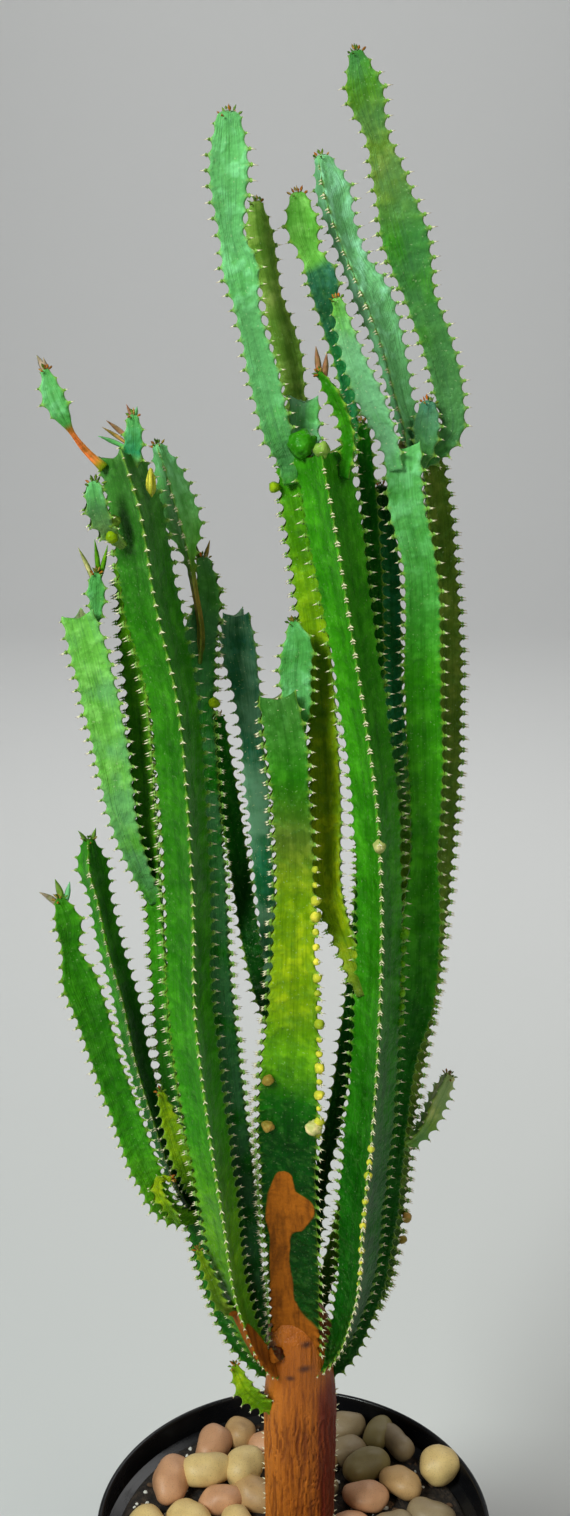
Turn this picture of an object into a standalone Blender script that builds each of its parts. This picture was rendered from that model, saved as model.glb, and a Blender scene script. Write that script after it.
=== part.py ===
"""Potted African milk tree: a spiny, ribbed candelabra succulent in a round black pot.

Metres, +Z up. The origin is the middle of the pot's flat base, and -Y is the plant's front.
Routes of stems are lists of (x, y, z, width) in millimetres, from the root to the top.
"""

import math
import random
from dataclasses import dataclass

import bmesh
import bpy
import numpy as np
from mathutils import Matrix, Vector

MM = 0.001
FIT_GAP = 0.0003

# Pot
POT_HEIGHT = 0.212
POT_RIM_RADIUS = 0.116
POT_SHOULDER_RADIUS = 0.109
POT_BASE_RADIUS = 0.085
POT_WALL = 0.003
POT_FLOOR = 0.005
POT_RIM_BAND = 0.020
POT_BAND_STEP = 0.003
POT_LIP = 0.001
POT_FOOT_HEIGHT = 0.006
POT_FOOT_INSET = 0.002
POT_SIDES = 40
POT_CREASE_ANGLE = math.radians(35)

# Soil, domed towards the trunk and rounded down at the wall
SOIL_TOP = 0.196
SOIL_DOME = 0.003
SOIL_EDGE_WIDTH = 0.004
SOIL_EDGE_DROP = 0.006

# Trunk: rings of (height, radius) in millimetres
TRUNK_X = 0.003
TRUNK_SIDES = 14
TRUNK_RINGS = (
    (128, 17.0), (165, 19.5), (205, 20.0), (235, 20.3), (265, 20.8), (292, 21.0),
    (306, 20.0), (316, 19.0), (330, 19.5), (342, 18.5), (351, 15.0), (356, 9.0),
)
TRUNK_FLUTE = 0.045
TRUNK_FLUTES = 3
TRUNK_FLUTE_TURN = 0.6

# Pebbles: lengths, breadths and thicknesses are shares of the half length
PEBBLE_SPACING = 0.0125
PEBBLE_LOOSENESS = 0.002
PEBBLE_BED_RADIUS = 0.095
PEBBLE_BED_FRONT_SHIFT = -0.008
PEBBLE_CLEAR_OF_TRUNK = 0.027
PEBBLE_HALF_LENGTH = 0.0148
PEBBLE_LENGTHS = (0.9, 1.15)
PEBBLE_BREADTHS = (0.8, 0.94)
PEBBLE_THICKNESSES = (0.6, 0.72)
PEBBLE_TILT = 0.35
PEBBLE_LIFTS = (0.0045, 0.0075)
PEBBLE_SIDES = 7
PEBBLE_RINGS = 4
PEBBLE_SEED = 36
GOLDEN_ANGLE = math.pi * (3 - math.sqrt(5))

# Ribs and their spiny teeth; a three-ribbed stem is as wide as its ribs' radius times root three
TOOTH_PITCH = 0.020
TOOTH_BASE = 0.0064
TOOTH_REACH = 0.0045
TOOTH_LEAN = 0.3
TOOTH_SHARE_OF_WIDTH = 0.45
TOOTH_SHARE_OF_PITCH = 0.25
FIRST_TOOTH = 0.3
TOOTH_STAGGER = 0.4
VALLEY_STEP = 0.030
VALLEY_SHARE = 0.42
CUT_DISH = -0.06
TIP_RISE = 0.35
WIDTH_PER_RIB_RADIUS = math.sqrt(3)

# Routes: points between knots, how far ahead and behind a heading is read, and the turn
# past which a rib or a valley gets one more point
ROUTE_FINENESS = 16
HEADING_REACH = 0.004
BEND_ANGLE = math.radians(10)
BEND_SCAN = 0.001
CLEAR_OF_BEND = 0.0015

# Leaves: the root's depth and the widest place are shares of the length, the arch is in thicknesses
LEAF_THICKNESS = 0.0009
LEAF_ROOT_SUNK = 0.1
LEAF_WIDEST = 0.6
LEAF_ARCH = 1.2

# Finishes: name, colour, roughness
BARK = ("bark", (0.50, 0.24, 0.08), 0.75)
BLACK_PLASTIC = ("black plastic", (0.012, 0.013, 0.014), 0.22)
SOIL = ("potting soil", (0.030, 0.022, 0.016), 0.95)
PEBBLE = ("smooth pebble", (0.62, 0.50, 0.37), 0.50)
BRIGHT_GREEN = ("bright green stem", (0.13, 0.36, 0.05), 0.45)
YELLOW_GREEN = ("yellow-green stem", (0.28, 0.42, 0.04), 0.45)
DEEP_GREEN = ("deep green stem", (0.04, 0.20, 0.05), 0.45)
OLIVE_GREEN = ("olive stem", (0.18, 0.27, 0.05), 0.50)


@dataclass(frozen=True)
class Stem:
    """A ribbed stem. Bearings are degrees anticlockwise from +X, seen from above."""

    route: tuple
    bearing: float = 90.0
    ribs: int = 3
    cut: bool = False
    twist: float = 0.0


@dataclass(frozen=True)
class Column:
    """A column with everything that grew on it: stems, buds (x, y, z, radius) and leaves."""

    stems: tuple
    buds: tuple = ()
    leaves: tuple = ()
    material: tuple = BRIGHT_GREEN


CENTRE_COLUMN = Column(
    stems=(
        Stem(
            route=(
                (3, -2, 326, 25), (3, -6, 344, 27), (2, -14, 388, 29), (-1, -24, 450, 30),
                (-1, -32, 513, 32), (1, -36, 560, 26), (1, -36, 590, 22), (1, -34, 641, 20),
                (-1, -32, 671, 20), (-3, -30, 696, 22), (-7, -28, 717, 19),
            ),
            bearing=195, cut=True,
        ),
        # The regrown top shoot.
        Stem(
            route=(
                (1, -28, 700, 10), (1, -26, 713, 14), (0, -27, 731, 16), (1, -28, 746, 13),
                (-1, -28, 754, 6),
            ),
            bearing=90,
        ),
        # The glaucous branch, leaving low on the left and rising behind.
        Stem(
            route=(
                (-1, -30, 536, 9), (-8, -14, 560, 11), (-14, 10, 597, 11), (-19, 22, 654, 12),
                (-24, 22, 709, 15), (-28, 22, 735, 19), (-29, 22, 748, 15),
            ),
            bearing=75, cut=True,
        ),
        # The dark branch behind it.
        Stem(
            route=(
                (-3, -26, 528, 9), (-13, -4, 542, 12), (-24, 28, 568, 11), (-30, 46, 600, 11),
                (-36, 52, 639, 11), (-41, 52, 686, 7),
            ),
            bearing=100,
        ),
        # The thin branch that crosses behind the front right column.
        Stem(
            route=(
                (10, -20, 402, 9), (14, -8, 440, 9), (21, 2, 468, 9), (32, 20, 535, 10),
                (39, 26, 619, 11), (42, 26, 702, 10), (41, 24, 756, 9), (37, 22, 807, 9),
                (33, 18, 844, 8),
            ),
            bearing=90,
        ),
    ),
    buds=((10, -44, 492, 4.2), (-14, -38, 516, 3.2), (-14, -35, 488, 3.2)),
    material=YELLOW_GREEN,
)

FRONT_RIGHT_COLUMN = Column(
    stems=(
        Stem(
            route=(
                (9, -5, 315, 8), (17, -11, 325, 9), (32, -26, 377, 19), (36, -38, 446, 24),
                (40, -44, 508, 25), (42, -46, 565, 23), (42, -46, 619, 23), (39, -44, 670, 23),
                (32, -40, 719, 23), (24, -36, 767, 24), (16, -32, 814, 26), (12, -30, 834, 26),
            ),
            bearing=270, cut=True,
        ),
        # The branch on its left.
        Stem(
            route=(
                (36, -42, 566, 10), (28, -34, 588, 11), (20, -26, 611, 15), (18, -16, 661, 17),
                (15, -12, 712, 16), (11, -12, 752, 16), (4, -12, 792, 14), (-2, -14, 826, 12),
            ),
            bearing=180, cut=True,
        ),
        # Tall minty shoot on the left.
        Stem(
            route=(
                (-2, -17, 820, 9), (-4, -20, 832, 11), (-8, -24, 843, 14), (-15, -26, 871, 14),
                (-23, -26, 904, 13), (-25, -26, 917, 18), (-29, -26, 932, 12), (-30, -26, 947, 15),
                (-30, -26, 964, 18), (-30, -26, 982, 12),
            ),
            bearing=90,
        ),
        # Olive shoot behind it.
        Stem(
            route=(
                (0, -13, 818, 8), (2, -8, 835, 10), (1, -4, 858, 10), (-3, 0, 881, 14),
                (-10, 2, 905, 10), (-16, 2, 933, 14), (-18, 2, 947, 7),
            ),
            bearing=70,
        ),
        # Jointed shoot with a bright top segment.
        Stem(
            route=(
                (22, -25, 822, 8), (26, -14, 842, 8), (24, -6, 868, 8), (16, -4, 893, 8),
                (11, -4, 917, 14), (7, -4, 924, 10), (3, -4, 937, 15), (1, -4, 950, 9),
            ),
            bearing=90,
        ),
        # Small twisted shoot in front.
        Stem(
            route=(
                (23, -32, 824, 7), (25, -34, 842, 7), (23, -34, 851, 7), (18, -36, 862, 7),
                (11, -36, 872, 4),
            ),
            bearing=60,
        ),
    ),
    buds=((3, -28, 839, 6.5), (12, -42, 838, 3.4), (40, -59, 651, 3.2), (-10, -16, 818, 3.0)),
    leaves=(((11, -36, 870), (9, -37, 884), 3), ((13, -36, 868), (14, -39, 881), 3)),
    material=BRIGHT_GREEN,
)

RIGHT_COLUMN = Column(
    stems=(
        Stem(
            route=(
                (13, -1, 308, 8), (22, 0, 314, 9), (38, -1, 355, 16), (47, -2, 409, 19),
                (52, -7, 466, 17), (58, -11, 514, 14), (64, -12, 549, 18), (65, -12, 589, 21),
                (66, -12, 633, 15), (66, -12, 660, 17), (63, -12, 722, 19), (60, -12, 782, 17),
                (53, -12, 811, 18), (51, -12, 836, 18),
            ),
            bearing=90, cut=True,
        ),
        # Pale shoot leaning left.
        Stem(
            route=(
                (48, -15, 826, 9), (45, -16, 838, 9), (37, -18, 856, 13), (27, -20, 879, 10),
                (19, -22, 904, 6),
            ),
            bearing=80,
        ),
        # Middle shoot.
        Stem(
            route=(
                (54, -7, 826, 9), (55, 0, 839, 10), (50, 6, 860, 12), (44, 8, 883, 15),
                (37, 8, 902, 18), (26, 8, 924, 13), (20, 8, 940, 14), (16, 8, 954, 17), (12, 8, 967, 9),
            ),
            bearing=250,
        ),
        # The tallest shoot, from an elbow on the right.
        Stem(
            route=(
                (54, -9, 828, 10), (67, 2, 833, 11), (76, 6, 843, 12), (75, 10, 857, 14),
                (69, 12, 881, 15), (60, 12, 904, 15), (52, 12, 931, 22), (44, 12, 958, 16),
                (37, 12, 980, 11), (32, 12, 996, 18), (28, 12, 1013, 8),
            ),
            bearing=90,
        ),
        # Bluish stub between them.
        Stem(
            route=(
                (58, -8, 826, 9), (62, -4, 836, 11), (63, 0, 845, 13), (64, 2, 855, 9),
            ),
            bearing=270,
        ),
    ),
    material=BRIGHT_GREEN,
)

BACK_RIGHT_COLUMN = Column(
    stems=(
        Stem(
            route=(
                (14, 11, 306, 8), (25, 18, 314, 9), (43, 24, 345, 15), (55, 28, 408, 16),
                (60, 29, 464, 16), (66, 28, 509, 16), (72, 25, 558, 16), (75, 24, 605, 16),
                (76, 22, 651, 18), (76, 22, 705, 19), (74, 24, 757, 17), (70, 26, 808, 14),
                (67, 26, 830, 12),
            ),
            bearing=0, cut=True,
        ),
        # Pale side shoot.
        Stem(
            route=(
                (57, 27, 438, 7), (63, 23, 445, 7), (68, 22, 449, 8), (74, 22, 457, 10),
                (80, 22, 473, 11), (86, 22, 487, 8),
            ),
            bearing=120,
        ),
    ),
    buds=((65, 26, 396, 3.0), (63, 28, 380, 2.6)),
    material=OLIVE_GREEN,
)

MIDDLE_RIGHT_STEM = Column(
    stems=(
        Stem(
            route=(
                (7, 11, 320, 8), (14, 24, 338, 9), (30, 44, 390, 10), (41, 50, 440, 10),
                (52, 50, 500, 11), (59, 46, 562, 11), (58, 44, 644, 11), (52, 42, 711, 11),
                (49, 38, 775, 10), (44, 36, 811, 8),
            ),
            bearing=90,
        ),
    ),
    material=DEEP_GREEN,
)

LEFT_COLUMN = Column(
    stems=(
        Stem(
            route=(
                (-8, -10, 318, 9), (-18, -20, 336, 11), (-31, -30, 378, 15), (-40, -42, 449, 20),
                (-47, -48, 510, 23), (-52, -50, 567, 23), (-52, -50, 620, 23), (-54, -48, 671, 23),
                (-58, -44, 720, 24), (-68, -40, 768, 27), (-75, -38, 814, 25), (-81, -36, 834, 21),
            ),
            bearing=160, cut=True,
        ),
        # Jointed shoot on the cut's outer corner.
        Stem(
            route=(
                (-90, -36, 826, 7), (-98, -36, 835, 7), (-105, -38, 848, 6), (-108, -38, 855, 11),
                (-111, -38, 862, 11), (-114, -38, 873, 5),
            ),
            bearing=90,
        ),
        # Leafy shoot on the cut.
        Stem(
            route=(
                (-78, -34, 826, 8), (-76, -34, 834, 9), (-75, -34, 845, 9), (-75, -34, 852, 6),
            ),
            bearing=90,
        ),
        # Lumpy side shoot under the cut.
        Stem(
            route=(
                (-80, -44, 794, 6), (-86, -48, 802, 9), (-90, -52, 812, 11), (-92, -52, 823, 8),
            ),
            bearing=200,
        ),
        # Narrow olive stub near the root.
        Stem(
            route=(
                (-32, -32, 374, 7), (-38, -36, 380, 7), (-45, -38, 400, 6), (-51, -40, 417, 4),
            ),
            bearing=90,
        ),
    ),
    buds=((-68, -41, 823, 4.0), (-9, -17, 333, 4.0)),
    leaves=(((-78, -36, 838), (-92, -40, 845), 3), ((-77, -36, 842), (-88, -40, 852), 3)),
    material=YELLOW_GREEN,
)

OUTER_LEFT_COLUMN = Column(
    stems=(
        Stem(
            route=(
                (-9, 2, 306, 9), (-22, 2, 318, 10), (-40, -2, 362, 15), (-50, -6, 404, 14),
                (-58, -8, 450, 13), (-65, -10, 497, 11), (-69, -10, 548, 10), (-72, -10, 610, 10),
                (-75, -10, 659, 12), (-77, -10, 711, 13), (-80, -12, 752, 12), (-83, -14, 780, 9),
            ),
            bearing=180,
        ),
        # Minty branch with a cut top.
        Stem(
            route=(
                (-72, -10, 604, 8), (-80, -16, 628, 11), (-86, -20, 652, 14), (-90, -22, 684, 17),
                (-95, -24, 715, 18), (-101, -26, 745, 18), (-104, -26, 757, 16),
            ),
            bearing=90, cut=True,
        ),
        Stem(
            route=(
                (-99, -25, 750, 7), (-96, -23, 761, 7), (-96, -22, 770, 9), (-96, -22, 777, 5),
            ),
            bearing=90,
        ),
        # Lowest branch, swung out to the left.
        Stem(
            route=(
                (-55, -10, 418, 8), (-67, -22, 430, 12), (-79, -30, 460, 15), (-89, -36, 498, 15),
                (-97, -38, 526, 15), (-104, -40, 556, 17), (-110, -40, 576, 17), (-113, -40, 589, 10),
                (-114, -40, 606, 13), (-117, -40, 616, 7),
            ),
            bearing=105,
        ),
        # Second branch, behind the lowest.
        Stem(
            route=(
                (-57, -8, 424, 8), (-66, -2, 441, 11), (-77, 5, 473, 12), (-86, 8, 507, 13),
                (-92, 8, 543, 14), (-99, 8, 572, 13), (-104, 8, 602, 13), (-107, 8, 617, 16),
                (-108, 8, 630, 8),
            ),
            bearing=270,
        ),
        # Short bright branch in front.
        Stem(
            route=(
                (-55, -12, 436, 7), (-57, -22, 450, 8), (-60, -27, 463, 10), (-66, -30, 490, 9),
                (-70, -32, 506, 5),
            ),
            bearing=100,
        ),
    ),
    leaves=(
        ((-97, -22, 772), (-104, -24, 790), 2.6), ((-95, -22, 774), (-96, -24, 794), 2.6),
        ((-95, -22, 773), (-90, -22, 791), 2.6),
        ((-117, -40, 611), (-128, -42, 622), 3), ((-116, -40, 613), (-119, -42, 630), 3),
        ((-115, -40, 613), (-112, -40, 628), 3), ((-108, 8, 627), (-113, 6, 640), 2.6),
        ((-107, 8, 628), (-104, 8, 641), 2.6),
    ),
    material=BRIGHT_GREEN,
)

BACK_LEFT_COLUMN = Column(
    stems=(
        Stem(
            route=(
                (-6, 9, 316, 8), (-16, 15, 328, 9), (-25, 20, 372, 13), (-31, 22, 425, 16),
                (-38, 23, 485, 17), (-43, 22, 546, 16), (-45, 20, 605, 15), (-48, 15, 662, 15),
                (-50, 9, 707, 16), (-50, 5, 737, 19), (-44, 3, 764, 12), (-46, 2, 780, 8),
            ),
            bearing=345,
        ),
        # Jointed shoot on a slender neck.
        Stem(
            route=(
                (-48, 4, 728, 8), (-47, -2, 745, 7), (-50, -6, 769, 6), (-52, -8, 784, 8),
                (-54, -8, 796, 16), (-58, -8, 811, 17), (-62, -8, 825, 13), (-66, -8, 836, 7),
            ),
            bearing=270,
        ),
    ),
    buds=((-41, 5, 706, 3.0),),
    leaves=(((-46, 2, 776), (-42, 1, 792), 3),),
    material=DEEP_GREEN,
)

BASAL_SHOOT = Column(
    stems=(
        Stem(
            route=(
                (-8, -8, 292, 8), (-17, -13, 301, 9), (-27, -17, 314, 11), (-33, -16, 327, 6),
            ),
            bearing=90,
        ),
    ),
    material=YELLOW_GREEN,
)

COLUMNS = {
    "centre_column": CENTRE_COLUMN,
    "front_right_column": FRONT_RIGHT_COLUMN,
    "right_column": RIGHT_COLUMN,
    "back_right_column": BACK_RIGHT_COLUMN,
    "middle_right_stem": MIDDLE_RIGHT_STEM,
    "left_column": LEFT_COLUMN,
    "outer_left_column": OUTER_LEFT_COLUMN,
    "back_left_column": BACK_LEFT_COLUMN,
    "basal_shoot": BASAL_SHOOT,
}


def clear_scene():
    """Remove whatever the file holds."""
    for obj in list(bpy.data.objects):
        bpy.data.objects.remove(obj, do_unlink=True)


def new_collection(name):
    """A collection under the scene's own."""
    collection = bpy.data.collections.new(name)
    bpy.context.scene.collection.children.link(collection)
    return collection


def principled(finish):
    """The material of a (name, colour, roughness) finish, made once."""
    name, colour, roughness = finish
    material = bpy.data.materials.get(name)
    if material is None:
        material = bpy.data.materials.new(name)
        material.use_nodes = True
        shader = material.node_tree.nodes["Principled BSDF"]
        shader.inputs["Base Color"].default_value = (*colour, 1.0)
        shader.inputs["Roughness"].default_value = roughness
        shader.inputs["Metallic"].default_value = 0.0
        material.diffuse_color = (*colour, 1.0)
    return material


def object_from(name, bm, collection, finish=None):
    """A mesh object holding the bmesh, which is freed."""
    mesh = bpy.data.meshes.new(name)
    bm.to_mesh(mesh)
    bm.free()
    obj = bpy.data.objects.new(name, mesh)
    collection.objects.link(obj)
    if finish is not None:
        mesh.materials.append(principled(finish))
    return obj


def make_cutter(obj):
    """Mark an object as a helper that is not part of the plant."""
    obj.hide_render = True
    obj.display_type = "WIRE"
    return obj


def apply_boolean(obj, operation, cutter=None, collection=None):
    """Apply one Boolean, with an object or with a whole collection."""
    modifier = obj.modifiers.new("Boolean", "BOOLEAN")
    modifier.operation = operation
    if collection is not None:
        modifier.operand_type = "COLLECTION"
        modifier.collection = collection
    else:
        modifier.object = cutter
    graph = bpy.context.evaluated_depsgraph_get()
    result = bpy.data.meshes.new_from_object(obj.evaluated_get(graph))
    obj.modifiers.clear()
    obj.data = result


def keep_largest_piece(obj):
    """Drop the loose scraps that a cut leaves."""
    bm = bmesh.new()
    bm.from_mesh(obj.data)
    unseen = set(bm.verts)
    islands = []
    while unseen:
        front = [unseen.pop()]
        island = set(front)
        while front:
            for edge in front.pop().link_edges:
                for vert in edge.verts:
                    if vert in unseen:
                        unseen.discard(vert)
                        island.add(vert)
                        front.append(vert)
        islands.append(island)
    largest = max(islands, key=len)
    scraps = [vert for vert in bm.verts if vert not in largest]
    bmesh.ops.delete(bm, geom=scraps, context="VERTS")
    bm.to_mesh(obj.data)
    bm.free()


def turned(name, profile, sides, collection, finish):
    """A body turned about Z from (radius, height) points that run down its outer side."""
    bm = bmesh.new()
    verts = [bm.verts.new((radius, 0.0, height)) for radius, height in profile]
    for lower, upper in zip(verts, verts[1:]):
        bm.edges.new((lower, upper))
    obj = object_from(name, bm, collection, finish)
    screw = obj.modifiers.new("Turn", "SCREW")
    screw.steps = sides
    screw.render_steps = sides
    screw.use_merge_vertices = True
    screw.merge_threshold = 0.0001
    return obj


def bake(obj):
    """Replace the object's mesh with its evaluated one."""
    graph = bpy.context.evaluated_depsgraph_get()
    mesh = bpy.data.meshes.new_from_object(obj.evaluated_get(graph))
    obj.modifiers.clear()
    obj.data = mesh


def split_into_triangles(obj):
    """Fix which way each bent face is divided."""
    bm = bmesh.new()
    bm.from_mesh(obj.data)
    bmesh.ops.triangulate(bm, faces=bm.faces)
    bm.to_mesh(obj.data)
    bm.free()


def wall_radius(height):
    """Outer radius of the pot's tapered wall at a height."""
    share = height / (POT_HEIGHT - POT_RIM_BAND)
    return POT_BASE_RADIUS + (POT_SHOULDER_RADIUS - POT_BASE_RADIUS) * share


def build_pot(collection):
    """A tapered pot with an outset rim band and a flat base."""
    band_foot = POT_HEIGHT - POT_RIM_BAND
    inner_rim = POT_RIM_RADIUS - POT_WALL
    profile = (
        (0.0, POT_FLOOR),
        (wall_radius(POT_FLOOR) - POT_WALL, POT_FLOOR),
        (POT_SHOULDER_RADIUS - POT_WALL, band_foot),
        (inner_rim, band_foot + POT_BAND_STEP),
        (inner_rim, POT_HEIGHT - POT_LIP),
        (inner_rim + POT_LIP, POT_HEIGHT),
        (POT_RIM_RADIUS - POT_LIP, POT_HEIGHT),
        (POT_RIM_RADIUS, POT_HEIGHT - POT_LIP),
        (POT_RIM_RADIUS, band_foot + POT_LIP),
        (POT_SHOULDER_RADIUS, band_foot - POT_LIP),
        (wall_radius(POT_FOOT_HEIGHT), POT_FOOT_HEIGHT),
        (POT_BASE_RADIUS - POT_FOOT_INSET, 0.0),
        (0.0, 0.0),
    )
    pot = turned("pot", profile, POT_SIDES, collection, BLACK_PLASTIC)
    bake(pot)
    pot.data.shade_smooth()
    pot.data.set_sharp_from_angle(angle=POT_CREASE_ANGLE)
    return pot


def build_soil(collection, trunk_cutter):
    """Soil that fills the pot, with a plain hole for the trunk."""
    floor = POT_FLOOR + FIT_GAP
    edge = SOIL_TOP - SOIL_EDGE_DROP
    edge_radius = wall_radius(edge) - POT_WALL - FIT_GAP
    profile = (
        (0.0, SOIL_TOP + SOIL_DOME),
        (edge_radius - SOIL_EDGE_WIDTH, SOIL_TOP),
        (edge_radius, edge),
        (wall_radius(floor) - POT_WALL - FIT_GAP, floor),
        (0.0, floor),
    )
    soil = turned("soil", profile, POT_SIDES, collection, SOIL)
    bake(soil)
    split_into_triangles(soil)
    apply_boolean(soil, "DIFFERENCE", cutter=trunk_cutter)
    split_into_triangles(soil)
    return soil


def trunk_mesh(grow):
    """The fluted trunk with its swollen crown; grow widens it all round."""
    bm = bmesh.new()
    rings = []
    last = len(TRUNK_RINGS) - 1
    for index, (height, radius) in enumerate(TRUNK_RINGS):
        level = height * MM
        if index == 0:
            level -= grow
        elif index == last:
            level += grow
        ring = []
        for side in range(TRUNK_SIDES):
            angle = math.tau * side / TRUNK_SIDES
            flute = 1 + TRUNK_FLUTE * math.cos(TRUNK_FLUTES * angle + TRUNK_FLUTE_TURN)
            reach = radius * MM * flute + grow
            ring.append(bm.verts.new((TRUNK_X + reach * math.cos(angle), reach * math.sin(angle), level)))
        rings.append(ring)
    loft(bm, rings)
    return bm


def loft(bm, rings):
    """Skin rings of equal count, and close each end with a fan."""
    count = len(rings[0])
    for lower, upper in zip(rings, rings[1:]):
        for i in range(count):
            j = (i + 1) % count
            bm.faces.new((lower[i], lower[j], upper[j]))
            bm.faces.new((lower[i], upper[j], upper[i]))
    for ring, flip in ((rings[0], True), (rings[-1], False)):
        hub = bm.verts.new(sum((vert.co for vert in ring), Vector()) / count)
        for i in range(count):
            j = (i + 1) % count
            bm.faces.new((hub, ring[j], ring[i]) if flip else (hub, ring[i], ring[j]))


def build_trunk(collection, cutters):
    """The trunk, and the slightly wider copy that clears the columns and the soil."""
    trunk = object_from("trunk", trunk_mesh(0.0), collection, BARK)
    trunk.data.shade_smooth()
    cutter = make_cutter(object_from("trunk_cutter", trunk_mesh(FIT_GAP), cutters))
    return trunk, cutter


class Route:
    """A smooth curve through a stem's points, read by distance from the root."""

    def __init__(self, route):
        knots = np.array(route, float) * MM
        spans = np.linalg.norm(np.diff(knots[:, :3], axis=0), axis=1)
        times = np.concatenate([[0.0], np.cumsum(spans)])
        slopes = np.gradient(knots, times, axis=0)
        dense = []
        for i, span in enumerate(spans):
            for t in np.arange(ROUTE_FINENESS) / ROUTE_FINENESS:
                dense.append(
                    (2 * t**3 - 3 * t**2 + 1) * knots[i]
                    + (t**3 - 2 * t**2 + t) * span * slopes[i]
                    + (3 * t**2 - 2 * t**3) * knots[i + 1]
                    + (t**3 - t**2) * span * slopes[i + 1]
                )
        dense.append(knots[-1])
        self.points = np.array(dense)
        steps = np.linalg.norm(np.diff(self.points[:, :3], axis=0), axis=1)
        self.reach = np.concatenate([[0.0], np.cumsum(steps)])
        self.length = float(self.reach[-1])

    def at(self, distance):
        """Place and width at a distance from the root."""
        row = [float(np.interp(distance, self.reach, self.points[:, k])) for k in range(4)]
        return Vector(row[:3]), row[3]

    def heading(self, distance):
        """Unit direction of growth at a distance from the root."""
        ahead, _ = self.at(min(distance + HEADING_REACH, self.length))
        behind, _ = self.at(max(distance - HEADING_REACH, 0.0))
        return (ahead - behind).normalized()

    def bends(self):
        """The distances at which the heading has turned by one more bend angle."""
        places = []
        last = self.heading(0.0)
        for distance in np.arange(0.0, self.length, BEND_SCAN):
            heading = self.heading(distance)
            if heading.angle(last) > BEND_ANGLE:
                places.append(float(distance))
                last = heading
        return places

    def off_axis(self, distance, bearing, radius):
        """The point at a radius from the axis, towards a bearing in degrees."""
        place, _ = self.at(distance)
        heading = self.heading(distance)
        angle = math.radians(bearing)
        outward = Vector((math.cos(angle), math.sin(angle), 0.0))
        outward = (outward - heading * outward.dot(heading)).normalized()
        return place + outward * radius


def with_bends(distances, bends):
    """The distances and every bend that is clear of them, in order."""
    extra = [bend for bend in bends if min(abs(bend - distance) for distance in distances) > CLEAR_OF_BEND]
    return sorted(distances + extra)


def rib_line(bm, stem, route, rib):
    """One rib's edge as (distance, vertex) pairs: straight, with three points for each tooth."""
    teeth = max(1, round(route.length / TOOTH_PITCH))
    pitch = route.length / teeth
    half_base = min(TOOTH_BASE / 2, TOOTH_SHARE_OF_PITCH * pitch)
    first = FIRST_TOOTH + TOOTH_STAGGER * rib / (stem.ribs - 1)
    steps = [(0.0, 0.0)]
    for tooth in range(teeth):
        middle = (tooth + first) * pitch
        rise = min(TOOTH_REACH, TOOTH_SHARE_OF_WIDTH * route.at(middle)[1])
        apex = middle + TOOTH_LEAN * half_base
        steps += [(middle - half_base, 0.0), (apex, rise), (middle + half_base, 0.0)]
    steps.append((route.length, 0.0))
    rises = dict(steps)
    line = []
    for distance in with_bends(list(rises), route.bends()):
        rise = rises.get(distance, 0.0)
        bearing = stem.bearing + 360 * rib / stem.ribs + stem.twist * distance / route.length
        radius = route.at(distance)[1] / WIDTH_PER_RIB_RADIUS + rise
        line.append((distance, bm.verts.new(route.off_axis(distance, bearing, radius))))
    return line


def valley_line(bm, stem, route, rib):
    """The bottom of the valley after one rib, as (distance, vertex) pairs."""
    count = max(2, round(route.length / VALLEY_STEP))
    line = []
    for distance in with_bends([route.length * step / count for step in range(count + 1)], route.bends()):
        bearing = stem.bearing + 360 * (rib + 0.5) / stem.ribs + stem.twist * distance / route.length
        radius = route.at(distance)[1] / WIDTH_PER_RIB_RADIUS * VALLEY_SHARE
        line.append((distance, bm.verts.new(route.off_axis(distance, bearing, radius))))
    return line


def fill_strip(bm, one, other):
    """Triangles between two lines of (distance, vertex), stepping along whichever lags."""
    i = j = 0
    while i < len(one) - 1 or j < len(other) - 1:
        one_left = i < len(one) - 1
        other_left = j < len(other) - 1
        if one_left and (not other_left or one[i][0] + one[i + 1][0] <= other[j][0] + other[j + 1][0]):
            bm.faces.new((one[i][1], other[j][1], one[i + 1][1]))
            i += 1
        else:
            bm.faces.new((one[i][1], other[j][1], other[j + 1][1]))
            j += 1


def stem_mesh(stem):
    """A star-sectioned stem with toothed rib edges, closed at the root and at the top."""
    route = Route(stem.route)
    bm = bmesh.new()
    lines = []
    for rib in range(stem.ribs):
        lines.append(rib_line(bm, stem, route, rib))
        lines.append(valley_line(bm, stem, route, rib))
    for index, line in enumerate(lines):
        fill_strip(bm, line, lines[(index + 1) % len(lines)])
    top, width = route.at(route.length)
    rise = CUT_DISH * width if stem.cut else TIP_RISE * width
    root_hub = bm.verts.new(route.at(0.0)[0])
    top_hub = bm.verts.new(top + route.heading(route.length) * rise)
    for index, line in enumerate(lines):
        following = lines[(index + 1) % len(lines)]
        bm.faces.new((root_hub, line[0][1], following[0][1]))
        bm.faces.new((top_hub, line[-1][1], following[-1][1]))
    bmesh.ops.recalc_face_normals(bm, faces=bm.faces)
    return bm


def bud_mesh(bud):
    """A small round knob."""
    x, y, z, radius = (value * MM for value in bud)
    bm = bmesh.new()
    bmesh.ops.create_icosphere(bm, subdivisions=1, radius=radius, matrix=Matrix.Translation((x, y, z)))
    return bm


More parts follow.
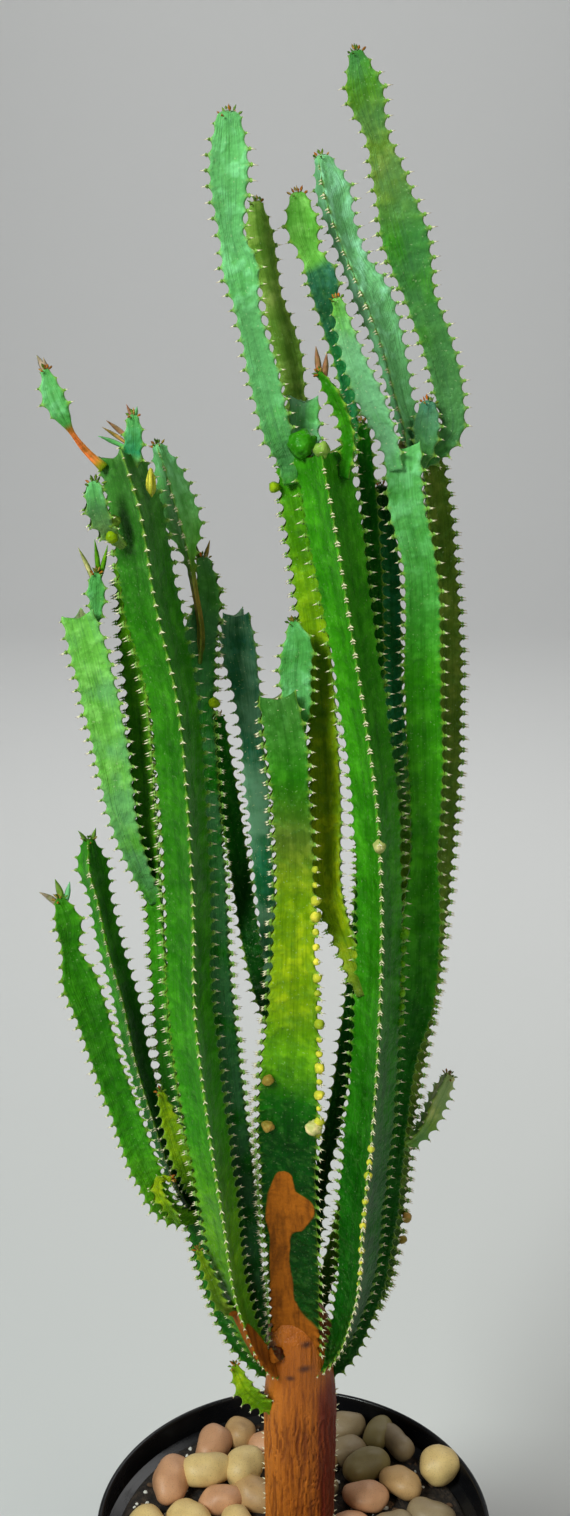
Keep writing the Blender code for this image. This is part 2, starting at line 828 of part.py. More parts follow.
def leaf_mesh(leaf):
    """A narrow arched blade from its root to its tip, widest past the middle."""
    root, tip, width = leaf
    root = Vector(root) * MM
    tip = Vector(tip) * MM
    run = tip - root
    across = run.cross(Vector((0.0, 1.0, 0.0))).normalized() * width * MM / 2
    up = across.cross(run).normalized() * LEAF_THICKNESS / 2
    widest = root + LEAF_WIDEST * run
    outline = (root - LEAF_ROOT_SUNK * run, widest - across, tip, widest + across)
    arch = (0.0, LEAF_ARCH, 0.0, LEAF_ARCH)
    bm = bmesh.new()
    under = [bm.verts.new(place + up * (lift * 2 - 1)) for place, lift in zip(outline, arch)]
    over = [bm.verts.new(place + up * (lift * 2 + 1)) for place, lift in zip(outline, arch)]
    for i in range(4):
        j = (i + 1) % 4
        bm.faces.new((under[i], under[j], over[j]))
        bm.faces.new((under[i], over[j], over[i]))
    bm.faces.new((over[0], over[1], over[3]))
    bm.faces.new((over[1], over[2], over[3]))
    bm.faces.new((under[0], under[3], under[1]))
    bm.faces.new((under[1], under[3], under[2]))
    bmesh.ops.recalc_face_normals(bm, faces=bm.faces)
    return bm


def build_column(name, column, collection, trunk_cutter):
    """One column: its stems, buds and leaves joined, and its root cut clear of the trunk."""
    meshes = [stem_mesh(stem) for stem in column.stems]
    meshes += [bud_mesh(bud) for bud in column.buds]
    meshes += [leaf_mesh(leaf) for leaf in column.leaves]
    body = object_from(name, meshes[0], collection, column.material)
    if len(meshes) > 1:
        growth = new_collection(name + "_growth")
        for index, bm in enumerate(meshes[1:]):
            object_from(f"{name}_growth_{index}", bm, growth)
        apply_boolean(body, "UNION", collection=growth)
        for obj in list(growth.objects):
            bpy.data.objects.remove(obj, do_unlink=True)
        bpy.data.collections.remove(growth)
    apply_boolean(body, "DIFFERENCE", cutter=trunk_cutter)
    keep_largest_piece(body)
    return body


def pebble_places():
    """Stones on a sunflower spiral round the trunk, loosened by a seeded draw."""
    rng = random.Random(PEBBLE_SEED)
    places = []
    for step in range(1, round((PEBBLE_BED_RADIUS / PEBBLE_SPACING) ** 2)):
        radius = PEBBLE_SPACING * math.sqrt(step)
        angle = step * GOLDEN_ANGLE
        strayed = [rng.uniform(-PEBBLE_LOOSENESS, PEBBLE_LOOSENESS) for _ in range(2)]
        x = TRUNK_X + radius * math.cos(angle) + strayed[0]
        y = PEBBLE_BED_FRONT_SHIFT + radius * math.sin(angle) + strayed[1]
        from_trunk = math.hypot(x - TRUNK_X, y)
        if from_trunk > PEBBLE_CLEAR_OF_TRUNK and math.hypot(x, y) < PEBBLE_BED_RADIUS:
            places.append((x, y))
    return places, rng


def pebble_mesh(x, y, z, size, rng):
    """One smooth flattened stone, turned at random."""
    heading = Matrix.Rotation(rng.uniform(0, math.tau), 4, "Z")
    turn = heading @ Matrix.Rotation(rng.uniform(-PEBBLE_TILT, PEBBLE_TILT), 4, "X")
    breadth = size * rng.uniform(*PEBBLE_BREADTHS)
    scale = Matrix.Diagonal((size, breadth, size * rng.uniform(*PEBBLE_THICKNESSES), 1.0))
    bm = bmesh.new()
    bmesh.ops.create_uvsphere(
        bm, u_segments=PEBBLE_SIDES, v_segments=PEBBLE_RINGS, radius=1.0,
        matrix=Matrix.Translation((x, y, z)) @ turn @ scale,
    )
    return bm


def build_pebbles(collection, trunk_cutter, soil):
    """The bed of stones, touching one another, seated on the soil."""
    places, rng = pebble_places()
    bed = None
    heap = new_collection("pebble_heap")
    for index, (x, y) in enumerate(places):
        size = PEBBLE_HALF_LENGTH * rng.uniform(*PEBBLE_LENGTHS)
        bm = pebble_mesh(x, y, SOIL_TOP + rng.uniform(*PEBBLE_LIFTS), size, rng)
        if bed is None:
            bed = object_from("pebbles", bm, collection, PEBBLE)
        else:
            object_from(f"pebble_{index}", bm, heap)
    apply_boolean(bed, "UNION", collection=heap)
    for obj in list(heap.objects):
        bpy.data.objects.remove(obj, do_unlink=True)
    bpy.data.collections.remove(heap)
    apply_boolean(bed, "DIFFERENCE", cutter=trunk_cutter)
    apply_boolean(bed, "DIFFERENCE", cutter=soil)
    keep_largest_piece(bed)
    bed.data.shade_smooth()
    return bed


def main():
    """Build every piece of the potted plant."""
    clear_scene()
    parts = new_collection("potted_african_milk_tree")
    cutters = new_collection("cutters")
    trunk, trunk_cutter = build_trunk(parts, cutters)
    build_pot(parts)
    soil = build_soil(parts, trunk_cutter)
    raised = soil.copy()
    raised.data = soil.data.copy()
    raised.name = "soil_cutter"
    cutters.objects.link(raised)
    raised.location.z += FIT_GAP
    make_cutter(raised)
    bpy.context.view_layer.update()
    build_pebbles(parts, trunk_cutter, raised)
    for name, column in COLUMNS.items():
        build_column(name, column, parts, trunk_cutter)


main()
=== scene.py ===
"""The potted African milk tree in its finished looks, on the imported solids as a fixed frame.

Metres, +Z up, and -Y is the plant's front. Routes of stems are (x, y, z, width) points in
millimetres, from the root to the top, the same as the solids have.
"""

import logging
import math
import random
from dataclasses import dataclass, field
from enum import Enum
from typing import Iterable, Optional, Sequence, Union

import bmesh
import bpy
import numpy as np
from mathutils import Matrix, Vector, noise


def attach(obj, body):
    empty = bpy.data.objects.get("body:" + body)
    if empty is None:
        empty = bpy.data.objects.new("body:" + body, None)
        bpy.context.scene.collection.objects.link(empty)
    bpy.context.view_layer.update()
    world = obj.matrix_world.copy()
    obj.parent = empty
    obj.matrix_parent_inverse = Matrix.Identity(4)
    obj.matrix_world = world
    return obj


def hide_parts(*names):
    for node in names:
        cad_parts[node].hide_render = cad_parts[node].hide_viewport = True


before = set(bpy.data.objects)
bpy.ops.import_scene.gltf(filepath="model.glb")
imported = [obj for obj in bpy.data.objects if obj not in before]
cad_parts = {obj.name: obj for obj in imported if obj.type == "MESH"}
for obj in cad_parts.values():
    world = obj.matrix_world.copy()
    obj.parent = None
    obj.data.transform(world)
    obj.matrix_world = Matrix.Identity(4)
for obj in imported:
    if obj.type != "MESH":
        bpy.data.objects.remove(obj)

log = logging.getLogger("milk_tree")

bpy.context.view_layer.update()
BODY = "root"
MM = 0.001

Colour = tuple[float, float, float]
Point = tuple[float, float, float]
Socket = bpy.types.NodeSocket
Value = Union[Socket, float, int, bool, str, tuple, bpy.types.ID]


class Shade(Enum):
    """The plant's colours, as linear red, green and blue; the deepest green is painted shade."""

    # Painted shade: the near-black green of the crowded lower stems.
    DEEP_PAINTED_SHADE = (0.001, 0.046, 0.001)
    LEAF = (0.008, 0.120, 0.002)
    GRASS = (0.042, 0.280, 0.005)
    LIME = (0.120, 0.350, 0.004)
    YELLOW = (0.220, 0.360, 0.003)
    OLIVE = (0.085, 0.150, 0.012)
    MINT = (0.130, 0.470, 0.130)
    BLUISH = (0.022, 0.240, 0.075)
    GLAUCOUS = (0.026, 0.140, 0.062)
    TAN = (0.400, 0.240, 0.050)
    RUST = (0.400, 0.120, 0.012)
    MAROON = (0.060, 0.010, 0.005)
    PINK = (0.400, 0.180, 0.090)
    CREAM = (0.600, 0.560, 0.200)
    BUTTER = (0.620, 0.600, 0.045)
    HERB = (0.030, 0.200, 0.004)
    MOSS = (0.150, 0.250, 0.026)
    SAGE = (0.240, 0.400, 0.060)
    JADE = (0.055, 0.200, 0.030)
    PALE = (0.220, 0.620, 0.260)
    FRESH = (0.150, 0.480, 0.060)
    LEMON = (0.340, 0.460, 0.004)
    SALMON = (0.620, 0.170, 0.030)
    BEIGE = (0.380, 0.310, 0.180)


class Top(Enum):
    """How a stem ends."""

    GROWING = "growing"
    CUT = "cut"


@dataclass(frozen=True)
class Stem:
    """A ribbed stem. Bearings are degrees anticlockwise from +X, seen from above.

    A share of its length next to the root can be bare of teeth; all of it means no leaves either.
    """

    route: tuple
    shades: tuple
    bearing: float = 90.0
    top: Top = Top.GROWING
    twist: float = 0.0
    wax: float = 0.0
    bare: float = 0.0


@dataclass(frozen=True)
class Bud:
    """A round knob: its place and radius in millimetres."""

    place: Point
    radius: float
    shade: Shade = Shade.YELLOW


@dataclass(frozen=True)
class Beads:
    """A row of swollen teeth on one rib of a stem, between two shares of its length."""

    stem: int
    rib: int
    start: float
    end: float
    radius: float
    shade: Shade


@dataclass(frozen=True)
class BarkStrip:
    """A strip of bark on a column's front, through (x, z, half width) points in millimetres."""

    course: tuple


@dataclass(frozen=True)
class Leaf:
    """A narrow blade, from its root to its tip, in millimetres."""

    root: Point
    tip: Point
    width: float
    shade: Shade = Shade.LIME


class NodeSketch:
    """A node tree under construction, with short ways to add its nodes."""

    def __init__(self, tree: bpy.types.NodeTree) -> None:
        """Hold the tree that the nodes go into."""
        self.tree = tree

    def add(self, kind: str, inputs: Optional[dict] = None, **settings: object) -> bpy.types.Node:
        """Add a node.

        Args:
            kind: The node's type name.
            inputs: Values or sockets by input name or number.
            settings: The node's own properties.

        Returns:
            The new node.
        """
        node = self.tree.nodes.new(kind)
        for key, value in settings.items():
            setattr(node, key, value)
        for key, value in (inputs or {}).items():
            self.feed(node.inputs[key], value)
        return node

    def feed(self, target: Socket, value: Value) -> None:
        """Link a socket into an input, or set the input's own value.

        Args:
            target: The input.
            value: A socket or a plain value.
        """
        if isinstance(value, bpy.types.NodeSocket):
            self.tree.links.new(value, target)
        else:
            target.default_value = value

    def math(self, operation: str, *values: Value, clamp: bool = False) -> Socket:
        """The result of a Math node on the values."""
        node = self.add("ShaderNodeMath", dict(enumerate(values)), operation=operation, use_clamp=clamp)
        return node.outputs[0]

    def vector(self, operation: str, *values: Value) -> Socket:
        """The vector result of a Vector Math node on the values."""
        node = self.add("ShaderNodeVectorMath", dict(enumerate(values)), operation=operation)
        return node.outputs[0]

    def scaled(self, vector: Value, factor: Value) -> Socket:
        """A vector times a number."""
        node = self.add("ShaderNodeVectorMath", {0: vector, "Scale": factor}, operation="SCALE")
        return node.outputs[0]

    def integer(self, operation: str, *values: Value) -> Socket:
        """The result of an Integer Math node on the values."""
        node = self.add("FunctionNodeIntegerMath", dict(enumerate(values)), operation=operation)
        return node.outputs[0]

    def step(self, value: Value, low: float, high: float, bottom: float = 0.0, top: float = 1.0) -> Socket:
        """A smooth rise from bottom to top while the value goes from low to high."""
        node = self.add(
            "ShaderNodeMapRange",
            {"Value": value, "From Min": low, "From Max": high, "To Min": bottom, "To Max": top},
            interpolation_type="SMOOTHSTEP",
        )
        return node.outputs[0]

    def mix(self, factor: Value, one: Value, other: Value, blend: str = "MIX") -> Socket:
        """Two colours mixed by a factor."""
        node = self.add("ShaderNodeMix", data_type="RGBA", blend_type=blend)
        self.feed(node.inputs[0], factor)
        for index, value in ((6, one), (7, other)):
            self.feed(node.inputs[index], (*value, 1.0) if isinstance(value, tuple) else value)
        return node.outputs[2]

    def grain(self, vector: Value, scale: float, detail: float = 2.0, rough: float = 0.5) -> Socket:
        """The grey value of a Noise Texture."""
        node = self.add(
            "ShaderNodeTexNoise",
            {"Vector": vector, "Scale": scale, "Detail": detail, "Roughness": rough},
        )
        return node.outputs[0]

    def stretched(self, vector: Value, stretch: Point) -> Socket:
        """Coordinates multiplied along each axis."""
        return self.vector("MULTIPLY", vector, stretch)


class SurfaceSketch(NodeSketch):
    """The node tree of a material with one Principled shader."""

    def __init__(self, name: str) -> None:
        """Start a material with that name."""
        self.material = bpy.data.materials.new(name)
        self.material.use_nodes = True
        super().__init__(self.material.node_tree)
        self.shader = self.tree.nodes["Principled BSDF"]
        self.place = self.add("ShaderNodeTexCoord").outputs["Object"]

    def attribute(self, name: str) -> Socket:
        """The number that a piece's own attribute holds."""
        node = self.add("ShaderNodeAttribute", attribute_name=name)
        return node.outputs["Fac"]

    def tint(self, name: str) -> Socket:
        """The colour that a piece's own attribute holds."""
        node = self.add("ShaderNodeAttribute", attribute_name=name)
        return node.outputs["Color"]

    def finish(self, colour: Value, roughness: Value, height: Value = None, depth: float = 0.001) -> bpy.types.Material:
        """Set the shader's colour, roughness and bump.

        Args:
            colour: The base colour.
            roughness: The roughness.
            height: The bump's height, or None.
            depth: The bump's depth in metres for a height of 1.

        Returns:
            The material.
        """
        colour = (*colour, 1.0) if isinstance(colour, tuple) else colour
        self.feed(self.shader.inputs["Base Color"], colour)
        self.feed(self.shader.inputs["Roughness"], roughness)
        if height is not None:
            bump = self.add("ShaderNodeBump", {"Height": height, "Strength": 1.0, "Distance": depth})
            self.feed(self.shader.inputs["Normal"], bump.outputs[0])
        return self.material


@dataclass(frozen=True)
class StemSkin:
    """Waxy green skin: pale rib margins, valleys darkened as painted shade, faint marbling, bloom, pale wax specks that
    are partly painted sparkle, and corky scars.
    """

    margin: Colour = (0.260, 0.420, 0.040)
    marbling: Colour = (0.150, 0.420, 0.070)
    # Darkens the streaks, which are the skin's own tone, and the valleys between the ribs, which is painted shade.
    streak_and_groove_shade: Colour = (0.30, 0.45, 0.25)
    lighter: Colour = (1.80, 1.45, 2.20)
    glint: Colour = (0.45, 1.0, 0.50)
    bloom: Colour = (0.260, 0.560, 0.330)
    # Pale specks on waxy skin: partly wax flecks, partly painted sparkle.
    speck: Colour = (0.520, 0.640, 0.340)
    blush: Colour = (0.130, 0.070, 0.020)
    cork: Colour = (0.380, 0.105, 0.008)
    cork_dark: Colour = (0.190, 0.050, 0.005)
    roughness: float = 0.33
    shine: float = 0.15

    def material(self) -> bpy.types.Material:
        """The stem's material, which reads the attributes that the column's mesh carries."""
        sketch = SurfaceSketch("stem_skin")
        ridge = sketch.attribute("ridge")
        along = sketch.attribute("along")
        broad = sketch.grain(sketch.place, 45.0, 3.0)
        fine = sketch.grain(sketch.place, 420.0, 3.0)
        flow = sketch.add(
            "ShaderNodeCombineXYZ",
            {0: sketch.math("MULTIPLY", ridge, 7.0), 1: sketch.math("MULTIPLY", along, 26.0), 2: broad},
        ).outputs[0]
        streak = sketch.grain(flow, 1.6, 4.0, 0.6)
        skin = sketch.mix(sketch.step(streak, 0.40, 0.70, 0.0, 0.40), sketch.tint("skin"), self.streak_and_groove_shade, "MULTIPLY")
        skin = sketch.mix(sketch.step(broad, 0.38, 0.62, 0.0, 0.70), skin, (0.42, 0.62, 0.30), "MULTIPLY")
        blotch = sketch.grain(sketch.place, 150.0, 2.0)
        skin = sketch.mix(sketch.step(blotch, 0.46, 0.66, 0.0, 0.80), skin, self.lighter, "MULTIPLY")
        # Painted shade: the valleys between the ribs are darkened.
        skin = sketch.mix(sketch.step(ridge, 0.0, 0.25, 0.35, 0.0), skin, self.streak_and_groove_shade, "MULTIPLY")
        skin = sketch.mix(self.chevrons(sketch, along, ridge, broad, fine), skin, self.marbling)
        edge = sketch.math("ADD", ridge, sketch.math("MULTIPLY", sketch.attribute("swell"), 0.22))
        edge = sketch.math("ADD", edge, sketch.math("MULTIPLY", fine, 0.10))
        skin = sketch.mix(sketch.step(edge, 0.94, 1.20, 0.0, 0.85), skin, self.margin)
        wax = sketch.attribute("wax")
        cloud = sketch.step(sketch.math("ADD", broad, sketch.math("MULTIPLY", streak, 0.25)), 0.46, 0.72)
        skin = sketch.mix(sketch.math("MULTIPLY", sketch.math("MULTIPLY", wax, cloud), 0.75), skin, self.bloom)
        # Pale specks, stronger on waxy skin: partly wax flecks, partly painted sparkle.
        wax_speck_and_sparkle = sketch.step(sketch.grain(sketch.place, 900.0, 1.0), 0.68, 0.76)
        wax_speck_and_sparkle_amount = sketch.math("MULTIPLY", wax_speck_and_sparkle, sketch.step(wax, 0.0, 1.0, 0.22, 0.75))
        skin = sketch.mix(wax_speck_and_sparkle_amount, skin, self.speck)
        ripe = sketch.math("ADD", sketch.attribute("blush"), sketch.math("MULTIPLY", fine, 0.5))
        skin = sketch.mix(sketch.step(ripe, 0.60, 1.35, 0.0, 0.70), skin, self.blush)
        scar = sketch.math("ADD", sketch.attribute("cork"), sketch.math("MULTIPLY", broad, 0.3))
        corky = sketch.step(scar, 0.57, 0.66)
        grain = sketch.grain(sketch.stretched(sketch.place, (1.0, 1.0, 0.12)), 240.0, 4.0, 0.6)
        bark = sketch.mix(sketch.step(grain, 0.38, 0.68), self.cork, self.cork_dark)
        coloured = sketch.mix(corky, skin, bark)
        height = sketch.math("ADD", fine, sketch.math("MULTIPLY", corky, 0.6))
        height = sketch.math("ADD", height, sketch.math("MULTIPLY", streak, 1.1))
        height = sketch.math("ADD", height, sketch.math("MULTIPLY", blotch, 3.2))
        rough = sketch.step(corky, 0.0, 1.0, self.roughness, 0.7)
        sketch.feed(sketch.shader.inputs["Specular IOR Level"], self.shine)
        sketch.feed(sketch.shader.inputs["Specular Tint"], (*self.glint, 1.0))
        return sketch.finish(coloured, rough, height, 0.0005)

    @staticmethod
    def chevrons(sketch: SurfaceSketch, along: Socket, ridge: Socket, broad: Socket, fine: Socket) -> Socket:
        """How much of the pale marbling shows: broken V marks that climb towards the ribs."""
        climb = sketch.math("SUBTRACT", sketch.math("MULTIPLY", along, 420.0), sketch.math("MULTIPLY", ridge, 6.0))
        phase = sketch.math("ADD", climb, sketch.math("MULTIPLY", broad, 26.0))
        vee = sketch.step(sketch.math("SINE", phase), -0.3, 1.0, 0.0, 0.12)
        return sketch.math("MULTIPLY", vee, sketch.step(fine, 0.36, 0.70))


@dataclass(frozen=True)
class SpineHorn:
    """Pale horn: yellow-green where a tooth grows from the rib, cream, and brown at the point."""

    root: Colour = (0.200, 0.400, 0.050)
    middle: Colour = (0.780, 0.720, 0.480)
    point: Colour = (0.480, 0.250, 0.120)

    def material(self) -> bpy.types.Material:
        """The spines' material, which reads how far along its tooth a point is."""
        sketch = SurfaceSketch("spine_horn")
        reach = sketch.attribute("reach")
        pale = sketch.mix(sketch.step(reach, 0.1, 0.45), self.root, self.middle)
        tipped = sketch.mix(sketch.step(reach, 0.86, 1.0), pale, self.point)
        return sketch.finish(tipped, 0.45)


@dataclass(frozen=True)
class Bark:
    """Orange-brown bark with long vertical strands, dark red on the plant's right, and paled on the left below the
    crown as painted light.
    """

    light: Colour = (0.430, 0.112, 0.006)
    dark: Colour = (0.150, 0.030, 0.004)
    red: Colour = (0.150, 0.012, 0.003)
    # Used for the bark's own pale patches and for the painted light on the left side.
    pale: Colour = (0.660, 0.200, 0.020)
    scar: Colour = (0.085, 0.022, 0.008)
    crown_foot: float = 0.300
    crown_head: float = 0.325
    red_from: float = 0.011
    red_to: float = 0.018

    def material(self) -> bpy.types.Material:
        """The trunk's material."""
        sketch = SurfaceSketch("bark")
        strands = sketch.grain(sketch.stretched(sketch.place, (1.0, 1.0, 0.055)), 420.0, 5.0, 0.62)
        patches = sketch.grain(sketch.stretched(sketch.place, (1.0, 1.0, 0.3)), 90.0, 3.0)
        fine = sketch.grain(sketch.place, 900.0, 3.0)
        furrow = sketch.attribute("furrow")
        split = sketch.add("ShaderNodeSeparateXYZ", {0: sketch.place})
        height = sketch.math("ADD", split.outputs[2], sketch.math("MULTIPLY", patches, 0.02))
        swollen = sketch.step(height, self.crown_foot + 0.01, self.crown_head + 0.01)
        streaks = sketch.math("MULTIPLY", sketch.step(strands, 0.40, 0.66), sketch.step(swollen, 0.0, 1.0, 0.9, 0.35))
        colour = sketch.mix(streaks, self.light, self.dark)
        # Painted light: the trunk's left side below the crown is paled.
        painted_light_on_left = sketch.step(split.outputs[0], -0.016, 0.004, 0.75, 0.0)
        colour = sketch.mix(sketch.math("MULTIPLY", painted_light_on_left, sketch.step(swollen, 0.0, 1.0, 1.0, 0.0)), colour, self.pale)
        colour = sketch.mix(sketch.step(patches, 0.52, 0.72, 0.0, 0.35), colour, self.pale)
        colour = sketch.mix(sketch.step(furrow, 0.15, 0.9, 0.0, 0.7), colour, self.dark)
        side = sketch.math("ADD", split.outputs[0], sketch.math("MULTIPLY", patches, 0.010))
        reddened = sketch.math(
            "MULTIPLY", sketch.step(side, self.red_from + 0.005, self.red_to + 0.005), sketch.step(swollen, 0.0, 1.0, 0.9, 0.1)
        )
        colour = sketch.mix(reddened, colour, self.red)
        colour = sketch.mix(sketch.attribute("scar"), colour, self.scar)
        bump = sketch.math("ADD", sketch.math("MULTIPLY", strands, -1.0), sketch.math("MULTIPLY", fine, 0.3))
        sketch.feed(sketch.shader.inputs["Specular IOR Level"], 0.35)
        return sketch.finish(colour, sketch.step(swollen, 0.0, 1.0, 0.55, 0.36), bump, 0.0016)


@dataclass(frozen=True)
class PebbleStone:
    """Smooth river stone, tinted stone by stone."""

    roughness: float = 0.5

    def material(self) -> bpy.types.Material:
        """The stones' material, which reads each stone's tint."""
        sketch = SurfaceSketch("pebble_stone")
        tint = sketch.tint("tint")
        cloud = sketch.grain(sketch.place, 110.0, 4.0)
        speck = sketch.grain(sketch.place, 1500.0, 2.0)
        clouded = sketch.mix(sketch.step(cloud, 0.35, 0.7, 0.0, 0.45), tint, (0.74, 0.66, 0.60), "MULTIPLY")
        specked = sketch.mix(sketch.step(speck, 0.56, 0.72, 0.0, 0.45), clouded, (0.16, 0.11, 0.06))
        return sketch.finish(specked, self.roughness, speck, 0.00008)


@dataclass(frozen=True)
class PottingSoil:
    """Dark, damp potting mix."""

    dark: Colour = (0.012, 0.008, 0.006)
    light: Colour = (0.060, 0.038, 0.024)

    def material(self) -> bpy.types.Material:
        """The soil's material."""
        sketch = SurfaceSketch("potting_soil")
        lumps = sketch.grain(sketch.place, 260.0, 6.0, 0.7)
        crumbs = sketch.grain(sketch.place, 900.0, 3.0)
        colour = sketch.mix(sketch.step(lumps, 0.4, 0.7), self.dark, self.light)
        return sketch.finish(colour, 0.92, sketch.math("ADD", lumps, crumbs), 0.0015)


@dataclass(frozen=True)
class Crumb:
    """A plain crumb in the soil, such as perlite or a chip of bark."""

    name: str
    light: Colour
    dark: Colour

    def material(self) -> bpy.types.Material:
        """The crumbs' material."""
        sketch = SurfaceSketch(self.name)
        cloud = sketch.grain(sketch.place, 700.0, 3.0)
        return sketch.finish(sketch.mix(cloud, self.dark, self.light), 0.85, cloud, 0.0004)


@dataclass(frozen=True)
class BlackPlastic:
    """Glossy black plastic with a film of dust and faint rub marks."""

    colour: Colour = (0.006, 0.006, 0.007)
    dust: Colour = (0.050, 0.044, 0.036)

    def material(self) -> bpy.types.Material:
        """The pot's material."""
        sketch = SurfaceSketch("black_plastic")
        cloud = sketch.grain(sketch.place, 28.0, 4.0)
        rub = sketch.grain(sketch.stretched(sketch.place, (1.0, 1.0, 14.0)), 60.0, 4.0, 0.7)
        dusty = sketch.mix(sketch.step(cloud, 0.48, 0.75, 0.0, 0.22), self.colour, self.dust)
        rough = sketch.math("ADD", sketch.step(cloud, 0.4, 0.75, 0.20, 0.42), sketch.step(rub, 0.5, 0.8, 0.0, 0.12))
        sketch.feed(sketch.shader.inputs["Specular IOR Level"], 0.3)
        return sketch.finish(dusty, rough, rub, 0.00005)


def new_object(name: str, mesh: bpy.types.Mesh) -> bpy.types.Object:
    """An object at the origin that holds the mesh, linked to the scene."""
    obj = bpy.data.objects.new(name, mesh)
    bpy.context.scene.collection.objects.link(obj)
    return obj


def drop(obj: bpy.types.Object) -> None:
    """Remove a helper object with its mesh."""
    mesh = obj.data
    bpy.data.objects.remove(obj, do_unlink=True)
    bpy.data.meshes.remove(mesh)


def put_attribute(mesh: bpy.types.Mesh, name: str, kind: str, values: Iterable) -> None:
    """Give every vertex of a mesh a value.

    Args:
        mesh: The mesh.
        name: The attribute's name.
        kind: FLOAT, INT, FLOAT_VECTOR or FLOAT_COLOR.
        values: A value for each vertex.
    """
    attribute = mesh.attributes.new(name, kind, "POINT")
    rows = np.asarray(list(values), dtype=np.int32 if kind == "INT" else np.float32)
    if kind == "FLOAT_COLOR":
        rows = np.concatenate([rows, np.ones((len(rows), 1), np.float32)], axis=1)
    key = {"FLOAT_VECTOR": "vector", "FLOAT_COLOR": "color"}.get(kind, "value")
    attribute.data.foreach_set(key, rows.ravel())


def publish(piece: bpy.types.Object, node: str) -> None:
    """Seat a finished piece on the frame in place of its solid, and report it.

    Args:
        piece: The finished piece.
        node: The solid's node that it stands for.
    """
    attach(piece, BODY)
    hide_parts(node)
    mesh = piece.data
    mesh.calc_loop_triangles()
    log.info("%s: %d triangles, replaces %s", piece.name, len(mesh.loop_triangles), node)


class GrowthTree:
    """A Geometry Nodes tree that is run once on an object and then removed."""

    def __init__(self, name: str) -> None:
        """Start an empty tree with a geometry input and output."""
        self.tree = bpy.data.node_groups.new(name, "GeometryNodeTree")
        self.tree.interface.new_socket("Geometry", in_out="INPUT", socket_type="NodeSocketGeometry")
        self.tree.interface.new_socket("Geometry", in_out="OUTPUT", socket_type="NodeSocketGeometry")
        self.sketch = NodeSketch(self.tree)
        self.entry = self.sketch.add("NodeGroupInput")
        self.leave = self.sketch.add("NodeGroupOutput")
        self.keys: dict[str, str] = {}

    def ask(self, name: str, kind: str, default: Value = None) -> Socket:
        """Add a named input.

        Args:
            name: The input's name.
            kind: Float, Int, Object or Material.
            default: Its default value.

        Returns:
            The socket that holds the input inside the tree.
        """
        socket = self.tree.interface.new_socket(name, in_out="INPUT", socket_type=f"NodeSocket{kind}")
        if default is not None:
            socket.default_value = default
        self.keys[name] = socket.identifier
        return self.entry.outputs[name]

    def named(self, name: str, kind: str) -> Socket:
        """A field that reads a named attribute."""
        node = self.sketch.add("GeometryNodeInputNamedAttribute", {"Name": name}, data_type=kind)
        return node.outputs[0]

    def sampled(self, geometry: Socket, name: str, kind: str, index: Socket) -> Socket:
        """A named attribute of another geometry, read at an index."""
        node = self.sketch.add("GeometryNodeSampleIndex", data_type=kind, domain="POINT")
        self.sketch.feed(node.inputs["Geometry"], geometry)
        value = self.sketch.add("GeometryNodeInputPosition").outputs[0] if name == "position" else self.named(name, kind)
        self.sketch.feed(node.inputs["Value"], value)
        self.sketch.feed(node.inputs["Index"], index)
        return node.outputs[0]

    def stored(self, geometry: Socket, name: str, kind: str, value: Value) -> Socket:
        """The geometry with one more named attribute on its points."""
        node = self.sketch.add("GeometryNodeStoreNamedAttribute", data_type=kind, domain="POINT")
        self.sketch.feed(node.inputs["Geometry"], geometry)
        self.sketch.feed(node.inputs["Name"], name)
        self.sketch.feed(node.inputs["Value"], value)
        return node.outputs[0]

    def grow(self, host: bpy.types.Object, name: str, **values: Value) -> bpy.types.Object:
        """Run the tree on an object.

        Args:
            host: The object that the tree reads, which is removed afterwards.
            name: The new piece's name.
            values: The inputs' values, by name with _ for a space.

        Returns:
            A plain mesh object.
        """
        modifier = host.modifiers.new("growth", "NODES")
        modifier.node_group = self.tree
        for key, value in values.items():
            modifier[self.keys[key.replace("_", " ")]] = value
        graph = bpy.context.evaluated_depsgraph_get()
        mesh = bpy.data.meshes.new_from_object(host.evaluated_get(graph))
        host.modifiers.clear()
        drop(host)
        mesh.name = name
        return new_object(name, mesh)


